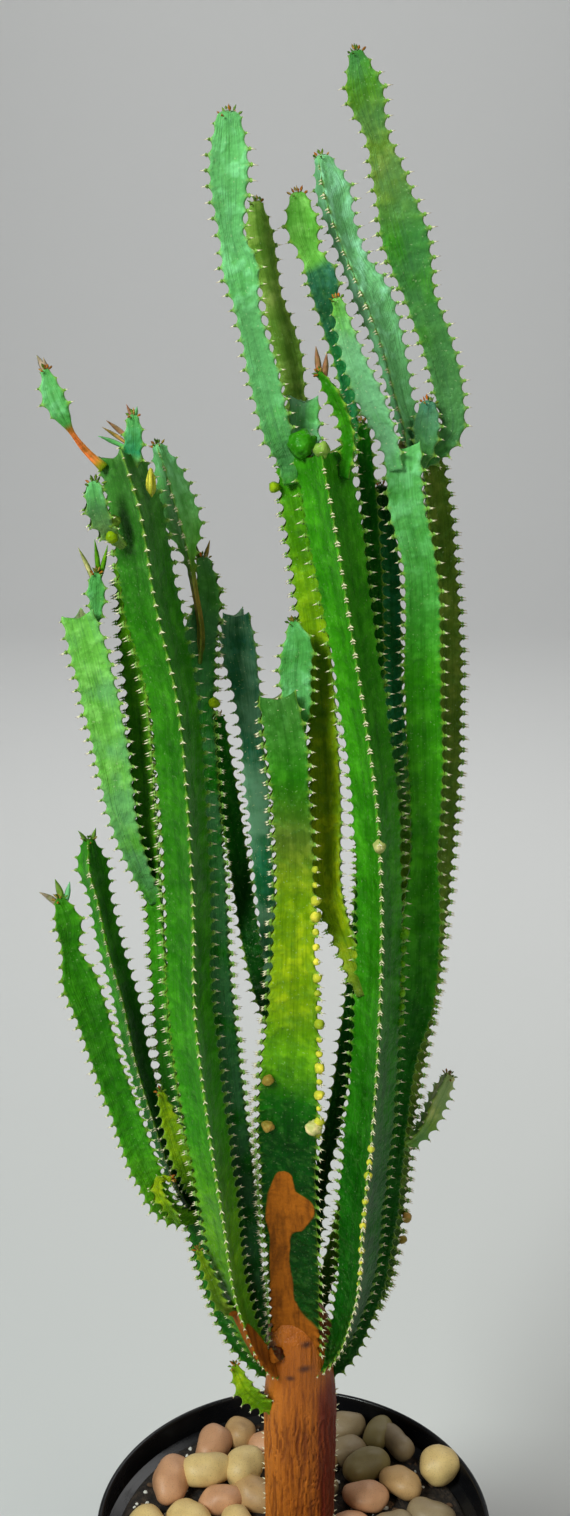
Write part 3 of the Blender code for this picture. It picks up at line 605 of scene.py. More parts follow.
@dataclass(frozen=True)
class RibSection:
    """The outline of a three-ribbed stem, as shares of its rib radius, valley and rib edge."""

    ribs: int = 3
    face_steps: int = 5
    hollow: float = 0.035
    shoulder: float = 0.55
    teeth_stagger: int = 2

    @property
    def points_a_rib(self) -> int:
        """Points round one rib, valley to valley."""
        return 2 * (self.face_steps + 1)

    def mesh_object(self) -> bpy.types.Object:
        """One vertex for each point round the outline, the first repeated at the end."""
        half = self.face_steps + 1
        rows: dict[str, list] = {"by_radius": [], "by_valley": [], "by_edge": [], "rib_axis": [],
                                 "ridge": [], "crest": [], "stagger": []}
        for index in range(self.ribs * self.points_a_rib + 1):
            rib = (index + half) // self.points_a_rib
            offset = index - self.points_a_rib * rib
            side = math.copysign(1.0, offset)
            turn = Matrix.Rotation(math.tau * rib / self.ribs, 3, "Z")
            share = max(0.0, (abs(offset) - 1) / self.face_steps)
            outward = Vector((1.0, 0.0, 0.0))
            valley = Vector((0.5, side * math.sqrt(0.75), 0.0))
            normal = Vector((0.5, side * math.sqrt(0.75), 0.0))
            dent = -self.hollow * math.sin(math.pi * share) * normal
            edge = Vector((-self.shoulder, side, 0.0)) * (1.0 - share) if offset else Vector()
            rows["by_radius"].append(turn @ (outward * (1.0 - share) + dent))
            rows["by_valley"].append(turn @ (valley * share))
            rows["by_edge"].append(turn @ edge)
            rows["rib_axis"].append(turn @ outward)
            rows["ridge"].append(1.0 - abs(offset) / half)
            rows["crest"].append({0: 1.0, 1: 0.8}.get(abs(offset), 0.0))
            rows["stagger"].append(self.teeth_stagger * rib)
        mesh = bpy.data.meshes.new("rib_section")
        mesh.from_pydata([(0.0, 0.0, 0.0)] * len(rows["ridge"]), [], [])
        for name in ("by_radius", "by_valley", "by_edge", "rib_axis"):
            put_attribute(mesh, name, "FLOAT_VECTOR", rows[name])
        for name in ("ridge", "crest", "stagger"):
            put_attribute(mesh, name, "FLOAT", rows[name])
        return new_object("rib_section", mesh)


@dataclass
class RibbedGrowth:
    """The growth of ribbed stems along their spines, with a toothed edge and paired spines."""

    section: RibSection = field(default_factory=RibSection)
    edge: float = 0.0008
    rings_a_tooth: int = 5
    tooth_wave: float = 0.0024
    horn_radius: float = 0.0011
    horn_length: float = 0.0022
    spine_radius: float = 0.00050
    spine_length: float = 0.0030
    lump_size: float = 85.0
    lump_depth: float = 0.0026
    spine_spread: float = math.radians(30)
    spine_droop: float = math.radians(8)
    merge: float = 0.00001
    seed: int = 7

    def tree(self) -> GrowthTree:
        """The Geometry Nodes tree."""
        growth = GrowthTree("ribbed stems")
        sketch = growth.sketch
        section = self.object_geometry(growth, "Section")
        extras = self.object_geometry(growth, "Growths")
        skin = growth.ask("Stem Material", "Material")
        horn = growth.ask("Spine Material", "Material")
        edge = growth.ask("Edge Half Thickness", "Float", self.edge)
        wave = growth.ask("Tooth Wave", "Float", self.tooth_wave)
        spine = growth.entry.outputs["Geometry"]
        swept = self.swept(growth, spine, section, edge, wave)
        skinned = sketch.add("GeometryNodeSetMaterial", {"Geometry": swept, "Material": skin}).outputs[0]
        teeth = self.teeth(growth, swept, horn)
        joined = sketch.add("GeometryNodeJoinGeometry")
        for part in (extras, teeth, skinned):
            sketch.tree.links.new(part, joined.inputs[0])
        sketch.feed(growth.leave.inputs["Geometry"], joined.outputs[0])
        return growth

    @staticmethod
    def object_geometry(growth: GrowthTree, name: str) -> Socket:
        """The geometry of an object that the tree is given."""
        chosen = growth.ask(name, "Object")
        return growth.sketch.add("GeometryNodeObjectInfo", {"Object": chosen}).outputs["Geometry"]

    def swept(self, growth: GrowthTree, spine: Socket, section: Socket, edge: Socket, wave: Socket) -> Socket:
        """The section swept along every spine.

        Args:
            growth: The tree.
            spine: Geometry with a point for each ring.
            section: Geometry with a point for each place round the outline.
            edge: Half the thickness of a rib's edge.
            wave: How far the rib's edge swells at a tooth.

        Returns:
            The closed surface of the stems.
        """
        sketch = growth.sketch
        rings = sketch.add("GeometryNodeAttributeDomainSize", {0: spine}, component="MESH").outputs[0]
        around = sketch.add("GeometryNodeAttributeDomainSize", {0: section}, component="MESH").outputs[0]
        grid = sketch.add("GeometryNodeMeshGrid", {"Vertices X": around, "Vertices Y": rings}).outputs[0]
        index = sketch.add("GeometryNodeInputIndex").outputs[0]
        ring = sketch.integer("MODULO", index, rings)
        place = sketch.integer("DIVIDE_FLOOR", index, rings)

        def on_spine(name: str, kind: str = "FLOAT") -> Socket:
            """An attribute of the ring."""
            return growth.sampled(spine, name, kind, ring)

        def on_section(name: str, kind: str = "FLOAT") -> Socket:
            """An attribute of the place round the outline."""
            return growth.sampled(section, name, kind, place)

        radius = on_spine("rib_radius")
        crest = on_section("crest")
        late = sketch.math("SUBTRACT", on_spine("ring"), on_section("stagger"))
        turn = sketch.math("MULTIPLY", sketch.math("SUBTRACT", late, self.rings_a_tooth // 2), math.tau / self.rings_a_tooth)
        swell = sketch.math("MAXIMUM", sketch.math("COSINE", turn), 0.0)
        spiny = on_spine("spiny")
        reach = sketch.math("MULTIPLY", sketch.math("MULTIPLY", swell, wave), sketch.math("MULTIPLY", crest, spiny))
        thin = sketch.math("MINIMUM", edge, sketch.math("MULTIPLY", radius, 0.25))
        axis = on_section("rib_axis", "FLOAT_VECTOR")
        local = sketch.scaled(on_section("by_radius", "FLOAT_VECTOR"), radius)
        sunk = sketch.math("MULTIPLY", radius, on_spine("valley"))
        local = sketch.vector("ADD", local, sketch.scaled(on_section("by_valley", "FLOAT_VECTOR"), sunk))
        local = sketch.vector("ADD", local, sketch.scaled(on_section("by_edge", "FLOAT_VECTOR"), thin))
        local = sketch.vector("ADD", local, sketch.scaled(axis, reach))
        outward = on_spine("outward", "FLOAT_VECTOR")
        heading = on_spine("heading", "FLOAT_VECTOR")
        aside = sketch.vector("CROSS_PRODUCT", heading, outward)

        def placed(vector: Socket) -> Socket:
            """A vector of the outline's plane, turned into space."""
            split = sketch.add("ShaderNodeSeparateXYZ", {0: vector})
            one = sketch.scaled(outward, split.outputs[0])
            return sketch.vector("ADD", one, sketch.scaled(aside, split.outputs[1]))

        horns = sketch.math("MULTIPLY", sketch.math("POWER", on_section("ridge"), 1.5), on_spine("lift"))
        position = sketch.vector("ADD", on_spine("position", "FLOAT_VECTOR"), placed(local))
        position = sketch.vector("ADD", position, sketch.scaled(heading, sketch.math("MULTIPLY", horns, radius)))
        shape = sketch.add("GeometryNodeSetPosition", {"Geometry": grid, "Position": position}).outputs[0]
        lump = sketch.math("SUBTRACT", sketch.grain(position, self.lump_size, 2.0), 0.5)
        inward = sketch.math("SUBTRACT", 1.0, on_section("ridge"))
        depth = sketch.math("MULTIPLY", sketch.math("MULTIPLY", lump, self.lump_depth), inward)
        lumpy = sketch.scaled(sketch.add("GeometryNodeInputNormal").outputs[0], depth)
        shape = sketch.add("GeometryNodeSetPosition", {"Geometry": shape, "Offset": lumpy}).outputs[0]
        on_tooth = sketch.math("MULTIPLY", sketch.math("GREATER_THAN", crest, 0.9), sketch.math("GREATER_THAN", swell, 0.9))
        shape = growth.stored(shape, "tooth", "FLOAT", sketch.math("MULTIPLY", on_tooth, spiny))
        shape = growth.stored(shape, "facing", "FLOAT_VECTOR", placed(axis))
        shape = growth.stored(shape, "growing", "FLOAT_VECTOR", heading)
        shape = growth.stored(shape, "size", "FLOAT", radius)
        shape = growth.stored(shape, "ridge", "FLOAT", on_section("ridge"))
        shape = growth.stored(shape, "swell", "FLOAT", sketch.math("MULTIPLY", swell, spiny))
        shape = growth.stored(shape, "skin", "FLOAT_COLOR", on_spine("skin", "FLOAT_COLOR"))
        for name in ("along", "cork", "wax", "blush", "first", "last"):
            shape = growth.stored(shape, name, "FLOAT", on_spine(name))
        bridge = sketch.math("MULTIPLY", growth.named("first", "FLOAT"), growth.named("last", "FLOAT"))
        cut = sketch.add(
            "GeometryNodeDeleteGeometry",
            {"Geometry": shape, "Selection": sketch.math("GREATER_THAN", bridge, 0.1)},
            domain="FACE",
        ).outputs[0]
        closed = sketch.add("GeometryNodeMergeByDistance", {"Geometry": cut, "Distance": self.merge}).outputs[0]
        return sketch.add("GeometryNodeSetShadeSmooth", {"Geometry": closed}).outputs[0]

    def teeth(self, growth: GrowthTree, swept: Socket, material: Socket) -> Socket:
        """A horn with two spreading spines on every tooth of the ribs.

        Args:
            growth: The tree.
            swept: The stems' surface, with its tooth, facing and growing attributes.
            material: The spines' material.

        Returns:
            The teeth as one mesh.
        """
        sketch = growth.sketch
        pair = sketch.add("GeometryNodeJoinGeometry")
        horn = self.cone(sketch, 6, self.horn_radius, self.horn_length)
        base = sketch.add(
            "GeometryNodeTransform",
            {"Geometry": horn, "Translation": (0.0, 0.0, -0.25 * self.horn_length), "Scale": (0.7, 1.3, 1.0)},
        )
        sketch.tree.links.new(base.outputs[0], pair.inputs[0])
        for side in (-1.0, 1.0):
            spine = sketch.add(
                "GeometryNodeTransform",
                {
                    "Geometry": self.cone(sketch, 5, self.spine_radius, self.spine_length),
                    "Translation": (0.0, 0.0, 0.2 * self.horn_length),
                    "Rotation": (self.spine_droop, side * self.spine_spread, 0.0),
                },
            )
            sketch.tree.links.new(spine.outputs[0], pair.inputs[0])
        height = sketch.add("ShaderNodeSeparateXYZ", {0: sketch.add("GeometryNodeInputPosition").outputs[0]}).outputs[2]
        reach = sketch.math("DIVIDE", height, self.spine_length * math.cos(self.spine_spread))
        tooth = growth.stored(pair.outputs[0], "reach", "FLOAT", reach)
        tooth = sketch.add("GeometryNodeSetShadeSmooth", {"Geometry": tooth}).outputs[0]
        here = growth.named("tooth", "FLOAT")
        chosen = sketch.math("GREATER_THAN", here, 0.05)
        turned = sketch.add(
            "FunctionNodeAxesToRotation",
            {"Primary Axis": growth.named("facing", "FLOAT_VECTOR"), "Secondary Axis": growth.named("growing", "FLOAT_VECTOR")},
            primary_axis="Z", secondary_axis="Y",
        ).outputs[0]
        chance = sketch.add("FunctionNodeRandomValue", {2: 0.78, 3: 1.15, "Seed": self.seed}).outputs[1]
        stout = sketch.step(growth.named("size", "FLOAT"), 0.003, 0.012, 0.55, 1.0)
        scale = sketch.math("MULTIPLY", sketch.math("MULTIPLY", chance, stout), here)
        placed = sketch.add(
            "GeometryNodeInstanceOnPoints",
            {"Points": swept, "Selection": chosen, "Instance": tooth, "Rotation": turned, "Scale": scale},
        ).outputs[0]
        real = sketch.add("GeometryNodeRealizeInstances", {"Geometry": placed}).outputs[0]
        return sketch.add("GeometryNodeSetMaterial", {"Geometry": real, "Material": material}).outputs[0]

    @staticmethod
    def cone(sketch: NodeSketch, sides: int, radius: float, length: float) -> Socket:
        """A pointed cone that stands on the plane."""
        node = sketch.add(
            "GeometryNodeMeshCone",
            {"Vertices": sides, "Radius Top": 0.0, "Radius Bottom": radius, "Depth": length},
            fill_type="NGON",
        )
        return node.outputs[0]


class Route:
    """A smooth curve through a stem's points, read by distance from the root."""

    fineness = 16
    heading_reach = 0.004

    def __init__(self, route: Sequence) -> None:
        """Work out the dense curve through the route's points."""
        knots = np.array(route, float) * MM
        spans = np.linalg.norm(np.diff(knots[:, :3], axis=0), axis=1)
        times = np.concatenate([[0.0], np.cumsum(spans)])
        slopes = np.gradient(knots, times, axis=0)
        dense = []
        for i, span in enumerate(spans):
            for t in np.arange(self.fineness) / self.fineness:
                dense.append(
                    (2 * t**3 - 3 * t**2 + 1) * knots[i]
                    + (t**3 - 2 * t**2 + t) * span * slopes[i]
                    + (3 * t**2 - 2 * t**3) * knots[i + 1]
                    + (t**3 - t**2) * span * slopes[i + 1]
                )
        dense.append(knots[-1])
        self.points = np.array(dense)
        steps = np.linalg.norm(np.diff(self.points[:, :3], axis=0), axis=1)
        self.reach = np.concatenate([[0.0], np.cumsum(steps)])
        self.length = float(self.reach[-1])

    def rows(self, distances: np.ndarray) -> np.ndarray:
        """Places and widths at distances from the root."""
        return np.stack([np.interp(distances, self.reach, self.points[:, k]) for k in range(4)], axis=1)

    def headings(self, distances: np.ndarray) -> np.ndarray:
        """Unit directions of growth at distances from the root."""
        ahead = self.rows(np.minimum(distances + self.heading_reach, self.length))[:, :3]
        behind = self.rows(np.maximum(distances - self.heading_reach, 0.0))[:, :3]
        run = ahead - behind
        return run / np.linalg.norm(run, axis=1, keepdims=True)

    def width(self, distance: float) -> float:
        """The stem's width at a distance from the root."""
        return float(self.rows(np.array([distance]))[0][3])

    def on_rib(self, distance: float, bearing: float, beyond: float) -> Vector:
        """The place on a rib's edge towards a bearing, or beyond it."""
        heading = Vector(self.headings(np.array([distance]))[0])
        outward = Vector((math.cos(math.radians(bearing)), math.sin(math.radians(bearing)), 0.0))
        outward = (outward - heading * outward.dot(heading)).normalized()
        place = Vector(self.rows(np.array([distance]))[0][:3])
        return place + outward * (self.width(distance) / math.sqrt(3) + beyond)


@dataclass(frozen=True)
class SpineMaker:
    """Turns stems into the spine points that the ribbed growth reads."""

    tooth_pitch: float = 0.0066
    rings_a_tooth: int = 5
    valley: float = 0.42
    valley_at_ends: float = 0.72
    tip_rise: float = 0.32
    tip_rings: int = 6
    cut_dish: float = 0.10
    cut_lift: float = 0.32
    cut_face: Colour = (0.210, 0.170, 0.060)
    bare_root: float = 0.008
    blush_reach: float = 0.0020
    waver: float = 0.07
    tooth_root: float = 0.0008
    width_per_radius: float = math.sqrt(3)

    def rings(self, stem: Stem) -> dict[str, np.ndarray]:
        """The rings of one stem.

        Args:
            stem: The stem.

        Returns:
            Arrays with a row for each ring, by attribute name.
        """
        route = Route(stem.route)
        count = max(self.rings_a_tooth, round(route.length / self.tooth_pitch * self.rings_a_tooth))
        along = np.linspace(0.0, route.length, count + 1)
        rows = route.rows(along)
        heading = route.headings(along)
        start = Vector(route.points[0][:3]) * 90.0
        waver = np.array([noise.noise(start + Vector((0.0, 0.0, distance * 62.0))) for distance in along])
        radius = rows[:, 3] / self.width_per_radius * (1.0 + self.waver * waver)
        radius = np.maximum(radius - self.tooth_root, 0.6 * radius)
        angle = np.radians(stem.bearing + stem.twist * along / route.length)
        flat = np.stack([np.cos(angle), np.sin(angle), np.zeros_like(angle)], axis=1)
        outward = flat - heading * np.sum(flat * heading, axis=1, keepdims=True)
        outward /= np.linalg.norm(outward, axis=1, keepdims=True)
        from_top = route.length - along
        ends = np.exp(-along / 0.010)
        if stem.top is Top.GROWING:
            ends = np.maximum(ends, np.exp(-from_top / 0.006))
        valley = self.valley + (self.valley_at_ends - self.valley) * ends
        from_bare = np.maximum(along - stem.bare * route.length, 0.0)
        spiny = np.clip(from_bare / self.bare_root, 0.0, 1.0) ** 2 * np.clip(0.45 + from_top / 0.02, 0.0, 1.0)
        lift = self.cut_lift * np.exp(-from_top / 0.003) * (stem.top is Top.CUT)
        blush = 0.2 * np.exp(-from_top / self.blush_reach) * (stem.top is Top.GROWING)
        skin = self.colours(stem, along / route.length)
        table = {
            "position": rows[:, :3], "heading": heading, "outward": outward, "rib_radius": radius,
            "valley": valley, "spiny": spiny, "blush": blush, "skin": skin, "along": along,
            "ring": np.arange(count + 1, dtype=float), "wax": np.full(count + 1, stem.wax),
            "cork": 0.35 * np.exp(-along / 0.006),
            "lift": lift,
        }
        return self.closed(table, stem)

    @staticmethod
    def colours(stem: Stem, share: np.ndarray) -> np.ndarray:
        """The skin's colour at shares of the stem's length, blended between its shades."""
        stops = [stop for stop, _ in stem.shades]
        tints = np.array([shade.value for _, shade in stem.shades])
        return np.stack([np.interp(share, stops, tints[:, k]) for k in range(3)], axis=1)

    def closed(self, table: dict[str, np.ndarray], stem: Stem) -> dict[str, np.ndarray]:
        """The table with the rings that close the root and the top.

        Args:
            table: The rings of the open stem.
            stem: The stem.

        Returns:
            The longer table, with the marks for its first and last ring.
        """
        width = table["rib_radius"][-1] * self.width_per_radius
        if stem.top is Top.CUT:
            caps = [(0.96, 0.012), (0.88, -0.01), (0.45, -0.7 * self.cut_dish), (0.0, -self.cut_dish)]
        else:
            steps = [step / self.tip_rings for step in range(1, self.tip_rings + 1)]
            caps = [((1.0 - step**2) ** 0.6, self.tip_rise * step) for step in steps]
        root = {name: values[:1].copy() for name, values in table.items()}
        root["rib_radius"][:] = 0.0
        parts = [root, table]
        for share, rise in caps:
            ring = {name: values[-1:].copy() for name, values in table.items()}
            ring["position"] = ring["position"] + ring["heading"] * rise * width
            ring["rib_radius"] = ring["rib_radius"] * share
            ring["spiny"][:] = 0.0
            if stem.top is Top.CUT:
                ring["skin"][:] = self.cut_face if share < 0.92 else ring["skin"]
                ring["lift"] = ring["lift"] * share
            else:
                ring["blush"][:] = 1.0 - 0.8 * share
            parts.append(ring)
        whole = {name: np.concatenate([part[name] for part in parts]) for name in table}
        whole["first"] = np.zeros(len(whole["along"]))
        whole["last"] = np.zeros(len(whole["along"]))
        whole["first"][0] = 1.0
        whole["last"][-1] = 1.0
        return whole

    def mesh_object(self, stems: Sequence[Stem]) -> bpy.types.Object:
        """One object with the spine points of all the stems."""
        tables = [self.rings(stem) for stem in stems]
        whole = {name: np.concatenate([table[name] for table in tables]) for name in tables[0]}
        mesh = bpy.data.meshes.new("spines")
        mesh.from_pydata([tuple(row) for row in whole.pop("position")], [], [])
        for name, values in whole.items():
            kind = {"skin": "FLOAT_COLOR", "heading": "FLOAT_VECTOR", "outward": "FLOAT_VECTOR"}.get(name, "FLOAT")
            put_attribute(mesh, name, kind, values)
        return new_object("spines", mesh)


@dataclass
class Column:
    """A column with everything that grew on it, built as one piece."""

    node: str
    slot: str
    stems: tuple[Stem, ...]
    buds: tuple[Bud, ...] = ()
    leaves: tuple[Leaf, ...] = ()
    beads: tuple[Beads, ...] = ()
    bark: tuple[BarkStrip, ...] = ()
    bud_lumps: float = 0.35
    bead_pitch: float = 0.008
    leaf_steps: int = 8
    leaf_thickness: float = 0.0006
    crown_leaves: int = 10
    crown_rise: float = 0.32

    def build(self, growth: GrowthTree, section: bpy.types.Object, skin: bpy.types.Material,
              horn: bpy.types.Material, maker: SpineMaker) -> bpy.types.Object:
        """Grow the column.

        Args:
            growth: The ribbed growth's tree.
            section: The object that holds the stems' outline.
            skin: The stems' material.
            horn: The spines' material.
            maker: What turns stems into spines.

        Returns:
            The finished piece.
        """
        extras = self.growths(skin)
        spines = maker.mesh_object(self.stems)
        piece = growth.grow(
            spines, f"{self.node}_growth", Section=section, Growths=extras,
            Stem_Material=skin, Spine_Material=horn,
        )
        drop(extras)
        self.bark_over(piece.data)
        publish(piece, self.node)
        return piece

    def bark_over(self, mesh: bpy.types.Mesh) -> None:
        """Mark the strips of bark on the front of the column."""
        if not self.bark:
            return
        count = len(mesh.vertices)
        places, normals = np.empty(3 * count, np.float32), np.empty(3 * count, np.float32)
        cork = np.empty(count, np.float32)
        mesh.vertices.foreach_get("co", places)
        mesh.vertices.foreach_get("normal", normals)
        mesh.attributes["cork"].data.foreach_get("value", cork)
        places, front = places.reshape(-1, 3), normals.reshape(-1, 3)[:, 1] < 0.1
        for strip in self.bark:
            course = np.array(strip.course, np.float32) * MM
            for (x, z, half), (next_x, next_z, next_half) in zip(course, course[1:]):
                run_x, run_z = next_x - x, next_z - z
                share = ((places[:, 0] - x) * run_x + (places[:, 2] - z) * run_z) / (run_x**2 + run_z**2)
                share = np.clip(share, 0.0, 1.0)
                away = np.hypot(places[:, 0] - x - share * run_x, places[:, 2] - z - share * run_z)
                away /= half + share * (next_half - half)
                cork = np.where(front, np.maximum(cork, np.clip(1.0 - 0.55 * away, 0.0, 1.0)), cork)
        mesh.attributes["cork"].data.foreach_set("value", cork)

    def growths(self, skin: bpy.types.Material) -> bpy.types.Object:
        """The buds, beads and leaves in one helper object."""
        bm = bmesh.new()
        tint = bm.verts.layers.float_color.new("skin")
        rng = random.Random(self.node)
        for bud in self.buds + tuple(self.beaded(rng)):
            self.add_bud(bm, tint, bud)
        growing = [stem for stem in self.stems if stem.top is Top.GROWING and stem.bare < 1.0]
        tips = [leaf for stem in growing for leaf in self.crown(stem, rng)]
        for leaf in self.leaves + tuple(tips):
            self.add_leaf(bm, tint, leaf)
        for face in bm.faces:
            face.smooth = True
        mesh = bpy.data.meshes.new("growths")
        bm.to_mesh(mesh)
        bm.free()
        mesh.materials.append(skin)
        count = len(mesh.vertices)
        for name, value in (("ridge", 0.6), ("along", 0.0), ("cork", 0.0), ("wax", 0.0), ("blush", 0.0), ("swell", 0.0)):
            put_attribute(mesh, name, "FLOAT", [value] * count)
        return new_object("growths", mesh)

    def beaded(self, rng: random.Random) -> list[Bud]:
        """The knobs of every row of beads."""
        knobs = []
        for row in self.beads:
            stem = self.stems[row.stem]
            route = Route(stem.route)
            for distance in np.arange(row.start * route.length, row.end * route.length, self.bead_pitch):
                rib = stem.bearing + 120 * row.rib + stem.twist * distance / route.length
                place = route.on_rib(float(distance), rib, 0.3 * row.radius * MM)
                knobs.append(Bud(tuple(place / MM), row.radius * rng.uniform(0.55, 1.15), row.shade))
        return knobs

    def crown(self, stem: Stem, rng: random.Random) -> list[Leaf]:
        """The tiny leaves that crowd round a growing tip."""
        route = Route(stem.route)
        shades = (Shade.MOSS, Shade.OLIVE, Shade.TAN, Shade.RUST)
        top = Vector(route.points[-1][:3])
        width = route.width(route.length)
        heading = Vector(route.headings(np.array([route.length]))[0])
        leaves = []
        for index in range(self.crown_leaves):
            share = (index + 0.5) / self.crown_leaves
            bearing = stem.bearing + stem.twist + 137.5 * index
            rim = route.on_rib(route.length, bearing, -0.10 * width) - top
            root = top + rim * share**0.7 + heading * self.crown_rise * width * (1.0 - share**1.5)
            run = (heading * (1.15 - share) + rim.normalized() * (0.25 + 0.75 * share)).normalized()
            tip = root + run * rng.uniform(0.0014, 0.0027)
            leaves.append(Leaf(tuple(root / MM), tuple(tip / MM), rng.uniform(0.9, 1.5), rng.choice(shades)))
        return leaves

    def add_bud(self, bm: bmesh.types.BMesh, tint: bmesh.types.BMLayerItem, bud: Bud) -> None:
        """Add a lumpy knob."""
        centre = Vector(bud.place) * MM
        made = bmesh.ops.create_icosphere(bm, subdivisions=3 if bud.radius > 3 else 2, radius=bud.radius * MM)
        for vert in made["verts"]:
            lump = noise.noise(vert.co * 420.0 + centre * 90.0)
            vert.co = centre + vert.co * (1.0 + self.bud_lumps * lump)
            vert[tint] = (*bud.shade.value, 1.0)

    def add_leaf(self, bm: bmesh.types.BMesh, tint: bmesh.types.BMLayerItem, leaf: Leaf) -> None:
        """Add an arched, cupped blade of even thickness."""
        root = Vector(leaf.root) * MM
        run = Vector(leaf.tip) * MM - root
        across = run.cross(Vector((0.0, 1.0, 0.0))).normalized()
        lift = across.cross(run).normalized()
        rings = []
        for step in range(self.leaf_steps + 1):
            share = step / self.leaf_steps
            half = 0.5 * leaf.width * MM * (0.35 + 0.65 * math.sin(math.pi * min(1.0, 0.15 + share) ** 1.3))
            half *= 1.0 if step < self.leaf_steps else 0.15
            arch = 0.12 * run.length * math.sin(math.pi * share)
            middle = root + run * (share * 1.08 - 0.08) + lift * arch
            row = []
            for side, cup, face in ((-1, 0.3, 1), (-0.5, 0.08, 1), (0, 0, 1), (0.5, 0.08, 1), (1, 0.3, 1),
                                    (0.5, 0.08, -1), (0, 0, -1), (-0.5, 0.08, -1)):
                place = middle + across * side * half + lift * (cup * half + face * self.leaf_thickness / 2)
                vert = bm.verts.new(place)
                vert[tint] = (*leaf.shade.value, 1.0)
                row.append(vert)
            rings.append(row)
        made = []
        for lower, upper in zip(rings, rings[1:]):
            for i in range(len(lower)):
                j = (i + 1) % len(lower)
                made.append(bm.faces.new((lower[i], lower[j], upper[j], upper[i])))
        made.append(bm.faces.new(rings[0][::-1]))
        made.append(bm.faces.new(rings[-1]))
        bmesh.ops.recalc_face_normals(bm, faces=made)


# Ramps from the root to the top; their deepest green at the roots is painted shade.
DARK_TO_BRIGHT = ((0.0, Shade.DEEP_PAINTED_SHADE), (0.3, Shade.LEAF), (0.65, Shade.GRASS), (1.0, Shade.GRASS))
BRIGHT = ((0.0, Shade.LEAF), (0.15, Shade.GRASS), (1.0, Shade.GRASS))
DARK = ((0.0, Shade.DEEP_PAINTED_SHADE), (1.0, Shade.LEAF))
MINTY = ((0.0, Shade.GRASS), (0.3, Shade.MINT), (1.0, Shade.MINT))
WAXY = ((0.0, Shade.DEEP_PAINTED_SHADE), (0.4, Shade.BLUISH), (1.0, Shade.GLAUCOUS))
OLIVE = ((0.0, Shade.OLIVE), (1.0, Shade.OLIVE))

